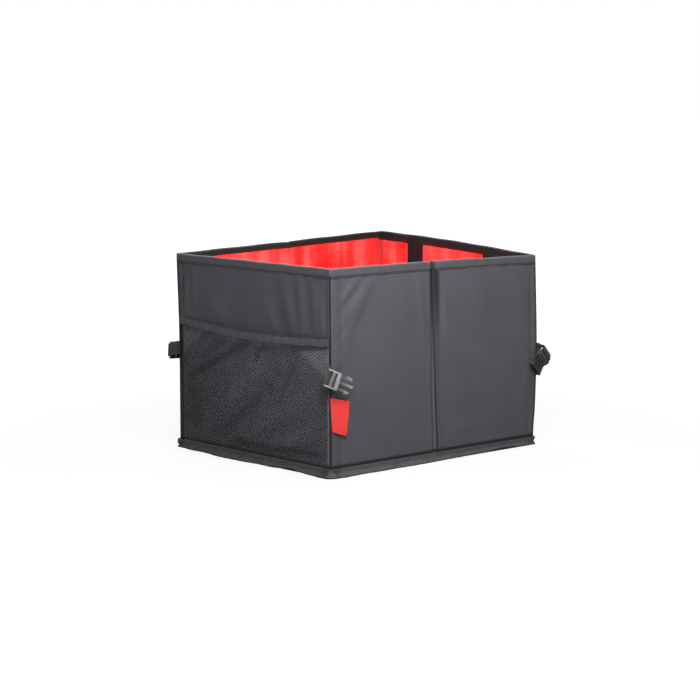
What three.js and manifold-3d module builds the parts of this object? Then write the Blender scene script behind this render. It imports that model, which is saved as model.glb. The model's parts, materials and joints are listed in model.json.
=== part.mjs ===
// A fold-flat fabric box for a car boot, in millimetres, +Z up.
// The origin is the middle of the underside. X runs along the long walls, and the net pocket is on
// the end wall at -X. Each wall is a sandwich of outer cloth, stiffener board and lining.
import * as THREE from 'three';
import { mergeVertices } from 'three/addons/utils/BufferGeometryUtils.js';
import Module from 'manifold-3d';

const wasm = await Module();
wasm.setup();

// Overall box, over the rim binding
const rimLength = 420;
const rimWidth = 350;
const height = 300;

// Layers of a wall, from the outside in, and the air left between layers
const clothThick = 1.2;
const boardThick = 3;
const liningThick = 1;
const layerGap = 0.3;

// The fold down the middle of a long wall
const foldHalfWidth = 6;
const foldLean = 6;

// Cloth rolls in to the seam at each upright corner
const cornerRollLength = 4;
const cornerRollDepth = 1.6;

// Binding tape over the rim
const tapeThick = 1;
const rimTapeHeight = 14;

// Bound seam round the foot, flared out to the floor
const footHeight = 15.5;
const footFlare = 9;
const footThick = 3.5;
const footWave = 1.1;
const footWaveLength = 62;
const footCornerShare = 0.62;

// Net pocket on the end wall
const pocketHeight = 202;
const pocketSag = 6;
const pocketBulge = 10;
const pocketTapeWidth = 12;
const pocketTapeThick = 2;
const netThick = 1;
const netStrand = 5;
const netColumns = 12;
const netRows = 9;

// Webbing handles inside the end walls
const handleSpacing = 172;
const handleWidth = 32;
const handleThick = 1.6;
const handleDrop = 96;
const handleBend = 46;
const handleBow = 3;

// Side-release buckles on short webbing straps at the corners
const strapWidth = 20;
const strapThick = 1.2;
const strapHeight = 154;
const femaleStrapDrop = 7;
const barRadius = 1.6;
const barClearance = 0.35;
const railWidth = 2.4;
const railClearance = 0.6;
const slotLength = 3.4;
const gripBar = 5;
const openSlotLength = 4.4;
const crossBar = 6.2;
const frameThick = 4;
const prongThick = 3;
const prongLength = 24.8;
const prongWidth = 4;
const armWidth = 3.4;
const armShortfall = 4;
const armBow = 1;
const hookLength = 8;
const hookWidth = 5;
const hookStep = 1.2;
const socketLength = 27.5;
const socketThick = 8;
const socketWall = 2.05;
const socketWaist = 4.4;
const socketWaistShare = 0.42;
const socketMouthFlare = 0.3;
const socketWindow = 10;

// Folded tag in the corner seam under the buckle
const tagTopWidth = 32;
const tagTopDrop = 6.4;
const tagHeight = 51;
const tagSeamHeight = 49;
const tagSeamTaper = 3.2;
const tagFreeTaper = 4.2;
const tagThick = 1.2;
const tagTop = 116;
const tagStandOff = 10;

// Where each layer starts, measured inwards from a wall's outer face
const faceX = rimLength / 2 - tapeThick - layerGap;
const faceY = rimWidth / 2 - tapeThick - layerGap;
const boardDepth = clothThick + layerGap;
const liningDepth = boardDepth + boardThick + layerGap;
const wallDepth = liningDepth + liningThick;

// Levels of the base layers, and the top of the walls under the rim tape
const baseBoardLevel = clothThick + layerGap;
const baseLiningLevel = baseBoardLevel + boardThick + layerGap;
const wallTop = height - tapeThick - layerGap;

const colours = {
  cloth: 0x47454a,
  lining: 0xf03a34,
  board: 0x8a8478,
  tape: 0x3f4142,
  net: 0x2e2e33,
  webbing: 0x2a2b2d,
  buckle: 0x1d1e20,
  tag: 0xf2463c,
};
const organizer = new THREE.Group();

function addPiece(name, geometry, colour, roughness = 0.85) {
  const material = new THREE.MeshStandardMaterial({ color: colour, roughness, metalness: 0 });
  const mesh = new THREE.Mesh(geometry, material);
  mesh.name = name;
  organizer.add(mesh);
  return mesh;
}

// A closed geometry from points and triangles, turned so that its faces point outwards
function closedGeometry(points, triangles) {
  const [a, b, c] = [new THREE.Vector3(), new THREE.Vector3(), new THREE.Vector3()];
  let volume = 0;
  for (const [i, j, k] of triangles) {
    volume += a.copy(points[i]).dot(b.copy(points[j]).cross(c.copy(points[k])));
  }
  const index = triangles.flatMap(([i, j, k]) => (volume > 0 ? [i, j, k] : [i, k, j]));
  const geometry = new THREE.BufferGeometry();
  const coordinates = points.flatMap((point) => point.toArray());
  geometry.setAttribute('position', new THREE.Float32BufferAttribute(coordinates, 3));
  geometry.setIndex(index);
  return geometry;
}

// A sheet with two sides: outer and inner are matching grids of points, joined round their edges
function sheetSolid(outer, inner) {
  const rows = outer.length;
  const columns = outer[0].length;
  const points = [...outer.flat(), ...inner.flat()];
  const id = (side, row, column) => side * rows * columns + row * columns + column;
  const triangles = [];
  const quad = (a, b, c, d) => triangles.push([a, b, c], [a, c, d]);
  for (let r = 0; r < rows - 1; r++) {
    for (let c = 0; c < columns - 1; c++) {
      quad(id(0, r, c), id(0, r, c + 1), id(0, r + 1, c + 1), id(0, r + 1, c));
      quad(id(1, r, c), id(1, r + 1, c), id(1, r + 1, c + 1), id(1, r, c + 1));
    }
  }
  for (let c = 0; c < columns - 1; c++) {
    quad(id(0, 0, c), id(1, 0, c), id(1, 0, c + 1), id(0, 0, c + 1));
    quad(id(0, rows - 1, c), id(0, rows - 1, c + 1), id(1, rows - 1, c + 1), id(1, rows - 1, c));
  }
  const end = columns - 1;
  for (let r = 0; r < rows - 1; r++) {
    quad(id(0, r, 0), id(0, r + 1, 0), id(1, r + 1, 0), id(1, r, 0));
    quad(id(0, r, end), id(1, r, end), id(1, r + 1, end), id(0, r + 1, end));
  }
  return closedGeometry(points, triangles);
}

// Cross-sections joined one after another, closed on itself or capped at both ends. From the span
// turnedFrom on, the faces are split along their other diagonal.
function sweptSolid(sections, closed, turnedFrom = Infinity) {
  const sides = sections[0].length;
  const points = sections.flat();
  const triangles = [];
  const spans = closed ? sections.length : sections.length - 1;
  for (let s = 0; s < spans; s++) {
    const here = s * sides;
    const next = ((s + 1) % sections.length) * sides;
    for (let k = 0; k < sides; k++) {
      const turn = (k + 1) % sides;
      if (s < turnedFrom) {
        triangles.push([here + k, here + turn, next + turn], [here + k, next + turn, next + k]);
      } else {
        triangles.push([here + k, here + turn, next + k], [here + turn, next + turn, next + k]);
      }
    }
  }
  if (!closed) {
    const last = (sections.length - 1) * sides;
    for (let k = 1; k < sides - 1; k++) {
      triangles.push([0, k + 1, k], [last, last + k, last + k + 1]);
    }
  }
  return closedGeometry(points, triangles);
}

// A flat band along a line of points, each with the direction of the band's width
function bandSolid(line, width, thick, turnedFrom) {
  const sections = line.map(({ point, across }, i) => {
    const before = line[Math.max(i - 1, 0)].point;
    const after = line[Math.min(i + 1, line.length - 1)].point;
    const along = new THREE.Vector3().subVectors(after, before).normalize();
    const face = new THREE.Vector3().crossVectors(along, across).normalize();
    const side = across.clone().normalize();
    return [[1, 1], [-1, 1], [-1, -1], [1, -1]].map(([w, t]) => point.clone()
      .addScaledVector(side, (w * width) / 2)
      .addScaledVector(face, (t * thick) / 2));
  });
  return sweptSolid(sections, false, turnedFrom);
}

// Evenly spread numbers from first to last
function spread(first, last, steps) {
  return Array.from({ length: steps + 1 }, (_, i) => first + ((last - first) * i) / steps);
}

// The four walls: along runs left to right, and out is measured outwards from the outer face
const at = (x, y, z) => new THREE.Vector3(x, y, z);
const walls = {
  front: { half: faceX, folded: true, place: (along, out, z) => at(along, -faceY - out, z) },
  back: { half: faceX, folded: true, place: (along, out, z) => at(-along, faceY + out, z) },
  net_end: { half: faceY, folded: false, place: (along, out, z) => at(-faceX - out, -along, z) },
  plain_end: { half: faceY, folded: false, place: (along, out, z) => at(faceX + out, along, z) },
};

// A long wall leans in along its fold, most at the rim
function lean(wall, along, z) {
  return wall.folded ? foldLean * (z / height) * (1 - Math.abs(along) / wall.half) : 0;
}

// One layer of a wall, with its outer side at the given depth plus the shape that inset adds
function wallLayer(wall, alongs, levels, depth, thick, inset = () => 0) {
  const side = (extra) => levels.map((z) => alongs.map((along) => (
    wall.place(along, -(depth + extra + lean(wall, along, z) + inset(along)), z))));
  return sheetSolid(side(0), side(thick));
}

const wallLevels = spread(baseBoardLevel, wallTop, 5);
const clothFoldDepth = liningDepth - layerGap - clothThick;

// A long wall's cloth runs to the corner, and an end wall's fits between the long ones
function clothEnd(wall) {
  return wall.half - (wall.folded ? 0 : cornerRollDepth + clothThick + layerGap);
}

// Outer cloth dips between the boards at the fold and rolls in at both corners
function clothInset(wall) {
  const rollStart = clothEnd(wall) - cornerRollLength;
  return (along) => {
    const reach = Math.abs(along);
    const dip = wall.folded && reach < foldHalfWidth
      ? clothFoldDepth * 0.5 * (1 + Math.cos((Math.PI * reach) / foldHalfWidth)) : 0;
    const roll = Math.max(0, (reach - rollStart) / cornerRollLength);
    return dip + cornerRollDepth * roll * roll;
  };
}

function outerCloth(name, wall) {
  const end = clothEnd(wall);
  const rollStart = end - cornerRollLength;
  const right = wall.folded
    ? [...spread(0, foldHalfWidth, 4), ...spread(foldHalfWidth, rollStart, 4).slice(1)]
    : [0, rollStart];
  right.push(...spread(rollStart, end, 3).slice(1));
  const left = right.slice(1).map((along) => -along).reverse();
  const levels = wall.folded ? wallLevels : [baseBoardLevel, wallTop];
  const geometry = wallLayer(wall, [...left, ...right], levels, 0, clothThick, clothInset(wall));
  addPiece(`${name}_wall_cloth`, geometry, colours.cloth);
}

function wallBoards(name, wall) {
  if (wall.folded) {
    const end = clothEnd(wall) - cornerRollLength - layerGap;
    const start = foldHalfWidth + layerGap;
    const right = spread(start, end, 4);
    const left = right.map((along) => -along).reverse();
    for (const [side, alongs] of [['right', right], ['left', left]]) {
      const geometry = wallLayer(wall, alongs, wallLevels, boardDepth, boardThick);
      addPiece(`${name}_wall_board_${side}`, geometry, colours.board);
    }
  } else {
    const insideCorner = wall.half - boardDepth - boardThick;
    const end = Math.min(clothEnd(wall) - cornerRollLength, insideCorner) - layerGap;
    const levels = [baseBoardLevel, wallTop];
    const geometry = wallLayer(wall, [-end, end], levels, boardDepth, boardThick);
    addPiece(`${name}_wall_board`, geometry, colours.board);
  }
}

function wallLining(name, wall) {
  const end = wall.folded ? wall.half - liningDepth : wall.half - wallDepth - layerGap;
  const right = wall.folded ? [0, ...spread(foldHalfWidth, end, 4)] : [0, end];
  const left = right.slice(1).map((along) => -along).reverse();
  const levels = wall.folded ? wallLevels : [baseBoardLevel, wallTop];
  const geometry = wallLayer(wall, [...left, ...right], levels, liningDepth, liningThick);
  addPiece(`${name}_wall_lining`, geometry, colours.lining, 0.5);
}

for (const [name, wall] of Object.entries(walls)) {
  outerCloth(name, wall);
  wallBoards(name, wall);
  wallLining(name, wall);
}

// A flat plate centred on x, with its underside at z
function plate(name, x, z, sizeX, sizeY, thick, colour) {
  const mesh = addPiece(name, new THREE.BoxGeometry(sizeX, sizeY, thick), colour);
  mesh.position.set(x, 0, z + thick / 2);
}

// Base: cloth on the floor, two boards that fold up along the middle, and the lining above them
const cornerReach = wallDepth + 2 * (tapeThick + layerGap);
const insideX = faceX - wallDepth - layerGap;
const insideY = faceY - wallDepth - layerGap;
const footInnerSlope = (footFlare - footThick) / (footHeight - footThick);
const baseEdge = footFlare - footThick - footInnerSlope * clothThick - layerGap - footWave;
const leafLength = insideX - foldHalfWidth / 2;

// The base cloth reaches the foot binding all round and is cut off across its corners
function baseCloth() {
  const [x, y] = [faceX + baseEdge, faceY + baseEdge];
  const cut = cornerReach + baseEdge;
  const outline = new THREE.Shape([
    [x, cut - y], [x, y - cut], [x - cut, y], [cut - x, y],
    [-x, y - cut], [-x, cut - y], [cut - x, -y], [x - cut, -y],
  ].map(([px, py]) => new THREE.Vector2(px, py)));
  const geometry = new THREE.ExtrudeGeometry(outline, { depth: clothThick, bevelEnabled: false });
  addPiece('base_cloth', geometry, colours.cloth);
}
baseCloth();
for (const [side, sign] of [['left', -1], ['right', 1]]) {
  const middle = sign * (foldHalfWidth / 2 + leafLength / 2);
  plate(`base_board_${side}`, middle, baseBoardLevel, leafLength, 2 * insideY, boardThick, colours.board);
}
plate('base_lining', 0, baseLiningLevel, 2 * insideX, 2 * insideY, liningThick, colours.lining);

// Stations round the box, anticlockwise from the front left corner. Each has a place on the walls'
// outer faces and the outward step that carries a point off them, square to both walls at a corner.
function boxStations(stepLength) {
  const stations = [];
  for (const name of ['front', 'plain_end', 'back', 'net_end']) {
    const wall = walls[name];
    const reach = wall.half - cornerReach;
    const steps = 2 * Math.ceil(reach / stepLength);
    for (const along of spread(-reach, reach, steps)) {
      stations.push({ wall, at: wall.place(along, 0, 0), out: outward(wall), along });
    }
    const corner = wall.place(wall.half, 0, 0);
    const square = new THREE.Vector3(Math.sign(corner.x), Math.sign(corner.y), 0);
    stations.push({ wall, at: corner, out: square, along: wall.half });
  }
  return stations;
}

function outward(wall) {
  return new THREE.Vector3().subVectors(wall.place(0, 1, 0), wall.place(0, 0, 0));
}

// The rim binding straddles all the layers: an outer leg, a top and an inner leg
function rimBinding() {
  const outerLeg = layerGap + tapeThick;
  const innerLeg = -(wallDepth + layerGap + tapeThick);
  const tapeFoot = height - rimTapeHeight;
  const profile = [
    [outerLeg, tapeFoot], [outerLeg, height], [innerLeg, height], [innerLeg, tapeFoot],
    [innerLeg + tapeThick, tapeFoot], [innerLeg + tapeThick, height - tapeThick],
    [layerGap, height - tapeThick], [layerGap, tapeFoot],
  ];
  const sections = boxStations(51).map(({ wall, at, out, along }) => {
    const inward = lean(wall, along, height);
    return profile.map(([step, z]) => at.clone().addScaledVector(out, step - inward).setZ(z));
  });
  addPiece('rim_binding', sweptSolid(sections, true), colours.tape);
}
rimBinding();

// The foot binding flares from the walls down to the floor, with a slow wave in its outer edge
function footBinding() {
  const sections = boxStations(26).map(({ wall, at, out, along }) => {
    const atCorner = Math.abs(along) === wall.half;
    const wave = footWave * Math.cos((2 * Math.PI * along) / footWaveLength) * (atCorner ? 0 : 1);
    const flare = (atCorner ? footCornerShare : 1) * footFlare + wave;
    const profile = [
      [layerGap, footHeight], [layerGap + tapeThick, footHeight], [flare, tapeThick],
      [flare - tapeThick / 2, 0], [flare - footThick, 0], [layerGap, footHeight - footThick],
    ];
    return profile.map(([step, z]) => at.clone().addScaledVector(out, step).setZ(z));
  });
  addPiece('foot_binding', sweptSolid(sections, true), colours.tape);
}
footBinding();

// Net pocket: sewn down both sides and along the foot, slack in the middle of its upper edge
const netHalf = faceY - cornerRollLength;
const netFoot = footHeight + layerGap;
const netTopEdge = (along) => pocketHeight - pocketTapeWidth - layerGap
  - pocketSag * Math.cos((Math.PI * along) / (2 * netHalf));
function netBulge(along, rise) {
  const across = Math.cos((Math.PI * along) / (2 * netHalf));
  return layerGap + pocketBulge * across * Math.sin((Math.PI * rise) / 2);
}

// Net cells with a diamond gap in each, so that the strands cross on the slant
function pocketNet() {
  const wall = walls.net_end;
  const place = (column, row, layer) => {
    const along = -netHalf + (2 * netHalf * column) / netColumns;
    const rise = row / netRows;
    const z = netFoot + rise * (netTopEdge(along) - netFoot);
    return wall.place(along, netBulge(along, rise) + layer * netThick, z);
  };
  const points = [];
  const triangles = [];
  const known = new Map();
  const pointAt = (column, row, layer) => {
    const key = `${column.toFixed(4)} ${row.toFixed(4)} ${layer}`;
    if (!known.has(key)) {
      known.set(key, points.length);
      points.push(place(column, row, layer));
    }
    return known.get(key);
  };
  const face = (layer, ...corners) => {
    const ids = corners.map(([column, row]) => pointAt(column, row, layer));
    triangles.push(layer ? ids : ids.reverse());
  };
  const wallBetween = (from, to) => {
    const [a, b] = [pointAt(...from, 0), pointAt(...to, 0)];
    const [c, d] = [pointAt(...to, 1), pointAt(...from, 1)];
    triangles.push([a, b, c], [a, c, d]);
  };
  const cellWidth = (2 * netHalf) / netColumns;
  const cellHeight = (pocketHeight - netFoot) / netRows;
  const insetX = netStrand / 2 / cellWidth;
  const insetZ = netStrand / 2 / cellHeight;
  for (let c = 0; c < netColumns; c++) {
    for (let r = 0; r < netRows; r++) {
      const corners = [[c, r], [c + 1, r], [c + 1, r + 1], [c, r + 1]];
      const tips = [
        [c + 0.5, r + insetZ], [c + 1 - insetX, r + 0.5],
        [c + 0.5, r + 1 - insetZ], [c + insetX, r + 0.5],
      ];
      for (let k = 0; k < 4; k++) {
        const next = (k + 1) % 4;
        for (const layer of [0, 1]) {
          face(layer, corners[k], corners[next], tips[k]);
          face(layer, corners[next], tips[next], tips[k]);
        }
        wallBetween(tips[next], tips[k]);
      }
    }
  }
  for (let c = 0; c < netColumns; c++) {
    wallBetween([c, 0], [c + 1, 0]);
    wallBetween([c + 1, netRows], [c, netRows]);
  }
  for (let r = 0; r < netRows; r++) {
    wallBetween([netColumns, r], [netColumns, r + 1]);
    wallBetween([0, r + 1], [0, r]);
  }
  addPiece('pocket_net', closedGeometry(points, triangles), colours.net);
}
pocketNet();

function pocketBinding() {
  const line = spread(-netHalf, netHalf, 16).map((along) => ({
    point: walls.net_end.place(along, netBulge(along, 1) + pocketTapeThick / 2,
      netTopEdge(along) + layerGap + pocketTapeWidth / 2),
    across: new THREE.Vector3(0, 0, 1),
  }));
  addPiece('pocket_binding', bandSolid(line, pocketTapeWidth, pocketTapeThick), colours.tape);
}
pocketBinding();

// A webbing handle hangs from under the rim tape as a U, with its foot bowed off the lining
function handle(name, wall) {
  const depth = wallDepth + layerGap + handleThick / 2;
  const top = height - rimTapeHeight - layerGap;
  const foot = top - handleDrop + handleWidth / 2;
  const leg = handleSpacing / 2;
  const flat = [];
  for (const z of spread(top, foot + handleBend, 3)) {
    flat.push({ along: -leg, z, turn: 0 });
  }
  for (const turn of spread(0, Math.PI / 2, 6).slice(1)) {
    flat.push({
      along: -leg + handleBend * (1 - Math.cos(turn)),
      z: foot + handleBend * (1 - Math.sin(turn)),
      turn,
    });
  }
  const mirrored = flat.map(({ along, z, turn }) => ({ along: -along, z, turn: Math.PI - turn })).reverse();
  const line = [...flat, ...mirrored].map(({ along, z, turn }) => {
    const drop = (top - z) / (top - foot);
    const point = wall.place(along, -depth - handleBow * drop * drop, z);
    const across = wall.place(Math.cos(turn), 0, Math.sin(turn)).sub(wall.place(0, 0, 0));
    return { point, across };
  });
  addPiece(name, bandSolid(line, handleWidth, handleThick), colours.webbing);
}
handle('net_end_handle', walls.net_end);
handle('plain_end_handle', walls.plain_end);

// Joining and cutting closed geometries
function solidOf(geometry) {
  const bare = geometry.clone();
  bare.deleteAttribute('normal');
  bare.deleteAttribute('uv');
  const merged = mergeVertices(bare, 1e-4);
  return new wasm.Manifold(new wasm.Mesh({
    numProp: 3,
    vertProperties: new Float32Array(merged.attributes.position.array),
    triVerts: new Uint32Array(merged.index.array),
  }));
}

function geometryOf(solid) {
  const { vertProperties, triVerts } = solid.getMesh();
  const geometry = new THREE.BufferGeometry();
  geometry.setAttribute('position', new THREE.BufferAttribute(new Float32Array(vertProperties), 3));
  geometry.setIndex(new THREE.BufferAttribute(new Uint32Array(triVerts), 1));
  return geometry;
}

function block(fromX, toX, fromY, toY, thick) {
  const geometry = new THREE.BoxGeometry(toX - fromX, toY - fromY, thick);
  return solidOf(geometry.translate((fromX + toX) / 2, (fromY + toY) / 2, 0));
}

function cutFromSheet(outline, thick) {
  const extrusion = { depth: thick, bevelEnabled: false, curveSegments: 5 };
  const geometry = new THREE.ExtrudeGeometry(outline, extrusion);
  return solidOf(geometry.translate(0, 0, -thick / 2));
}

// Both buckle halves have the webbing bar on the Y axis and point along X, flat in the XY plane
const railInner = strapWidth / 2 + railClearance;
const railOuter = railInner + railWidth;
const slotEnd = barRadius + slotLength;

function webbingBar() {
  const bar = new THREE.CylinderGeometry(barRadius, barRadius, 2 * railInner + railWidth, 16);
  return solidOf(bar);
}

// Male half: a ladder frame for the webbing, a centre prong and two spring arms with hooked tips
function maleBuckle() {
  const gripEnd = slotEnd + gripBar;
  const crossBarStart = gripEnd + openSlotLength;
  const frameEnd = crossBarStart + crossBar;
  const tip = frameEnd + prongLength;
  let solid = block(-barRadius, frameEnd, -railOuter, railOuter, frameThick);
  const strapSlot = block(-2 * barRadius, slotEnd, -railInner, railInner, 2 * frameThick);
  const openSlot = block(gripEnd, crossBarStart, -railInner, railInner, 2 * frameThick);
  solid = solid.subtract(strapSlot).subtract(openSlot).add(webbingBar());
  const root = frameEnd - crossBar / 2;
  solid = solid.add(block(root, tip, -prongWidth / 2, prongWidth / 2, prongThick));
  const armInner = railInner - 1.1 * armWidth;
  const armOuter = armInner + armWidth;
  const armTip = tip - armShortfall;
  const hookStart = armTip - hookLength;
  for (const side of [-1, 1]) {
    const arm = new THREE.Shape();
    arm.moveTo(root, side * armInner);
    arm.lineTo(hookStart, side * (armInner + armBow));
    arm.lineTo(armTip, side * (railOuter - hookWidth));
    arm.lineTo(armTip, side * (railOuter - hookWidth / 2));
    arm.quadraticCurveTo(armTip - hookLength / 3, side * railOuter, hookStart, side * railOuter);
    arm.lineTo(hookStart - hookStep, side * (armOuter + hookStep));
    arm.lineTo(root, side * armOuter);
    solid = solid.add(cutFromSheet(arm, prongThick));
  }
  return geometryOf(solid);
}

// Female half: a flat box with an open mouth, waisted where the hooks of the arms show
function femaleBuckle() {
  const bodyEnd = slotEnd + socketLength;
  const waist = slotEnd + socketLength * socketWaistShare;
  const [shoulder, flank] = [(slotEnd + waist) / 2, (3 * waist + bodyEnd) / 4];
  const [narrow, mouth] = [railOuter - socketWaist, railOuter + socketMouthFlare];
  const outline = new THREE.Shape();
  outline.moveTo(slotEnd, -railOuter);
  outline.quadraticCurveTo(shoulder, -railOuter, waist, -narrow);
  outline.quadraticCurveTo(flank, -narrow, bodyEnd, -mouth);
  outline.lineTo(bodyEnd, mouth);
  outline.quadraticCurveTo(flank, narrow, waist, narrow);
  outline.quadraticCurveTo(shoulder, railOuter, slotEnd, railOuter);
  let solid = cutFromSheet(outline, socketThick);
  for (const side of [-1, 1]) {
    const [low, high] = [side * railInner, side * railOuter].sort((a, b) => a - b);
    solid = solid.add(block(-barRadius, slotEnd + socketWall, low, high, frameThick));
  }
  solid = solid.add(webbingBar());
  const hollow = socketThick - 2 * socketWall;
  const hollowHalf = narrow - socketWall;
  const [windowStart, windowEnd] = [waist - socketWindow / 2, waist + socketWindow / 2];
  solid = solid.subtract(block(slotEnd + socketWall, 2 * bodyEnd, -hollowHalf, hollowHalf, hollow));
  return geometryOf(solid.subtract(block(windowStart, windowEnd, -2 * mouth, 2 * mouth, hollow)));
}

// Corner straps, in steps outwards from a corner: where the webbing leaves the seam, how it swings
// round, where the buckle's bar hangs, how far the buckle droops and how far it stands off the wall
const seamStep = { x: 2 * layerGap, y: -layerGap };
const maleHang = {
  male: true, doublesBack: false, bar: { x: 13, y: 8 }, root: strapHeight, standOff: 8,
  leave: 9, arrive: 7, twistedBy: 1,
};
const looseMaleHang = { ...maleHang, doublesBack: true, bar: { x: 8, y: 10 }, leave: 13, arrive: 10 };
const femaleRoot = strapHeight - femaleStrapDrop;
const femaleHang = {
  male: false, doublesBack: true, bar: { x: 14, y: 11 }, root: femaleRoot, standOff: 0,
  leave: 12, arrive: 13, twistedBy: 0.6,
};
const corners = [
  { name: 'male_front', sx: -1, sy: -1, hang: maleHang, droop: 24, barDrop: 5 },
  { name: 'male_back', sx: -1, sy: 1, hang: looseMaleHang, droop: 4, barDrop: 5 },
  { name: 'female_front', sx: 1, sy: -1, hang: femaleHang, droop: 41, barDrop: 7 },
  { name: 'female_back', sx: 1, sy: 1, hang: femaleHang, droop: 32, barDrop: 7 },
];

// The buckle's place: its bar's middle, the way it points, and the bar's own direction
function buckleFrame({ sx, sy, hang, droop, barDrop }) {
  const down = THREE.MathUtils.degToRad(droop);
  const off = THREE.MathUtils.degToRad(hang.standOff);
  const alongWall = new THREE.Vector3(-sx * Math.cos(down), 0, -Math.sin(down));
  const bar = new THREE.Vector3(-sx * Math.sin(down), 0, Math.cos(down));
  const outFromWall = new THREE.Vector3(0, sy, 0);
  const point = alongWall.multiplyScalar(Math.cos(off)).addScaledVector(outFromWall, Math.sin(off));
  const middle = new THREE.Vector3(
    sx * (faceX + hang.bar.x), sy * (faceY + hang.bar.y), hang.root - barDrop);
  return { middle, point, bar };
}

// A short webbing strap: out of the seam, round the buckle's bar and back, with both ends sewn in
function cornerStrap(corner) {
  const { sx, sy, hang } = corner;
  const { middle, point, bar } = buckleFrame(corner);
  const seam = at(sx * (faceX + seamStep.x), sy * (faceY + seamStep.y), hang.root);
  const slant = at(sx, 2 * sy, 0);
  const square = slant.addScaledVector(bar, -slant.dot(bar)).normalize();
  const arrival = hang.doublesBack ? point : square;
  const curve = new THREE.CubicBezierCurve3(
    seam, seam.clone().add(at(sx * hang.leave, 0, 0)),
    middle.clone().addScaledVector(arrival, -hang.arrive), middle);
  const loop = barRadius + barClearance + strapThick / 2;
  const sewn = strapThick / 2 + layerGap;
  const upright = new THREE.Vector3(0, 0, 1);
  const steps = 10;
  const stations = spread(0, 1, steps).map((share) => {
    const along = curve.getTangent(share);
    const ease = THREE.MathUtils.smoothstep(share, 0.1, hang.twistedBy);
    const across = upright.clone().lerp(bar, ease).normalize();
    const off = new THREE.Vector3().crossVectors(along, across).normalize();
    const apart = sewn + (loop - sewn) * THREE.MathUtils.smoothstep(share, 0.45, 1);
    return { place: curve.getPoint(share), along, across, off, apart };
  });
  const layer = (sign) => stations.slice(0, steps).map(({ place, across, off, apart }) => (
    { point: place.clone().addScaledVector(off, sign * apart), across }));
  const last = stations[steps];
  const round = spread(Math.PI / 2, -Math.PI / 2, 8).map((turn) => ({
    point: last.place.clone()
      .addScaledVector(last.along, loop * Math.cos(turn))
      .addScaledVector(last.off, loop * Math.sin(turn)),
    across: last.across,
  }));
  const line = [...layer(1), ...round, ...layer(-1).reverse()];
  // Both layers are split along the same diagonals, so that the twist keeps them apart evenly
  const returning = steps + round.length - 1;
  const geometry = bandSolid(line, strapWidth, strapThick, returning);
  addPiece(`strap_${corner.name}`, geometry, colours.webbing);
}

for (const corner of corners) {
  cornerStrap(corner);
  const { middle, point, bar } = buckleFrame(corner);
  const shape = corner.hang.male ? maleBuckle() : femaleBuckle();
  const mesh = addPiece(`buckle_${corner.name}`, shape, colours.buckle, 0.4);
  const normal = new THREE.Vector3().crossVectors(point, bar);
  mesh.quaternion.setFromRotationMatrix(new THREE.Matrix4().makeBasis(point, bar, normal));
  mesh.position.copy(middle);
}

// The tag is sewn into the front left corner seam and lies over the front wall
function seamTag() {
  const outline = new THREE.Shape();
  outline.moveTo(0, 0);
  outline.lineTo(tagTopWidth, -tagTopDrop);
  outline.lineTo(tagTopWidth - tagFreeTaper, -tagTopDrop - tagHeight);
  outline.lineTo(tagSeamTaper, -tagSeamHeight);
  outline.closePath();
  const geometry = new THREE.ExtrudeGeometry(outline, { depth: tagThick, bevelEnabled: false });
  geometry.rotateX(Math.PI / 2);
  geometry.rotateZ(THREE.MathUtils.degToRad(-tagStandOff));
  const mesh = addPiece('seam_tag', geometry, colours.tag, 0.6);
  mesh.position.set(-faceX + seamStep.x, -faceY - seamStep.y - layerGap, tagTop);
}
seamTag();

export default organizer;
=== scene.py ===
# %% [markdown]
# A fold-flat box for a car boot, dressed for a close look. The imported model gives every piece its
# place. This lesson replaces its plain cloth, tape, netting and webbing with finer ones, bevels the
# buckles, and gives each surface a finish of its own.
#
# Nearly all of the box is cloth, and cloth starts life as a flat cut. So most pieces here start as
# a flat grid of the cut's size, whose crossings are then carried to their places on the box. The
# flat grid stays on the piece as its UV map, in metres, and the weave is drawn on it at true scale.

# %% Load the frame
import json
import math

import bpy
import numpy as np
from mathutils import Matrix, Vector, noise


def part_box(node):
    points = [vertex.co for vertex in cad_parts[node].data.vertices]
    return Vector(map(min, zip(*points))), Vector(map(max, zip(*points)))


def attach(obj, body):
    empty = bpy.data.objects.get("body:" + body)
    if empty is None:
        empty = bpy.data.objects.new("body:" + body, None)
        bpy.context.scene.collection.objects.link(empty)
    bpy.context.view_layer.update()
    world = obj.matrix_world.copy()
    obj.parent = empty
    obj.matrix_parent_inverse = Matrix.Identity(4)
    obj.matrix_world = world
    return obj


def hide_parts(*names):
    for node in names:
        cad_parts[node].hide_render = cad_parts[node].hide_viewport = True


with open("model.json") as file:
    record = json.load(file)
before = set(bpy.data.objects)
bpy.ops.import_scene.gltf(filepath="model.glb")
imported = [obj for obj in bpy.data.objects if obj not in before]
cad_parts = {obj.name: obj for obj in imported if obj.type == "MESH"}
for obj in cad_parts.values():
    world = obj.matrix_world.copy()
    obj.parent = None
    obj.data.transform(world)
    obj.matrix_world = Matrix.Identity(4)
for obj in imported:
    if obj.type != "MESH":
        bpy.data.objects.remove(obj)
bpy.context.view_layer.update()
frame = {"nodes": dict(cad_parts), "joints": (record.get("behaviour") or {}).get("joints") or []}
mm = 0.001

# %% [markdown]
# The camera comes first. It stands low in front of the near corner, so that both the long front
# wall and the end wall with the net pocket are seen. A long lens keeps the box's edges nearly
# parallel, as in a catalogue picture.

# %% Camera
camera_place = Vector((-2.7465, -3.0301, 0.7393))
camera_yaw = math.radians(42.035)
camera_pitch = math.radians(8.228)
camera_lens = 138.86

bpy.ops.object.select_all(action="DESELECT")
bpy.ops.object.camera_add(location=camera_place)
camera = bpy.context.object
camera.rotation_euler = (math.pi / 2 - camera_pitch, 0, -camera_yaw)
camera.data.lens = camera_lens
camera.data.sensor_width = 36
camera.data.clip_start = 0.1
camera.data.clip_end = 40
bpy.context.scene.camera = camera
print("camera:", round(camera_lens, 1), "mm lens at", [round(x, 2) for x in camera_place])

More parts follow.
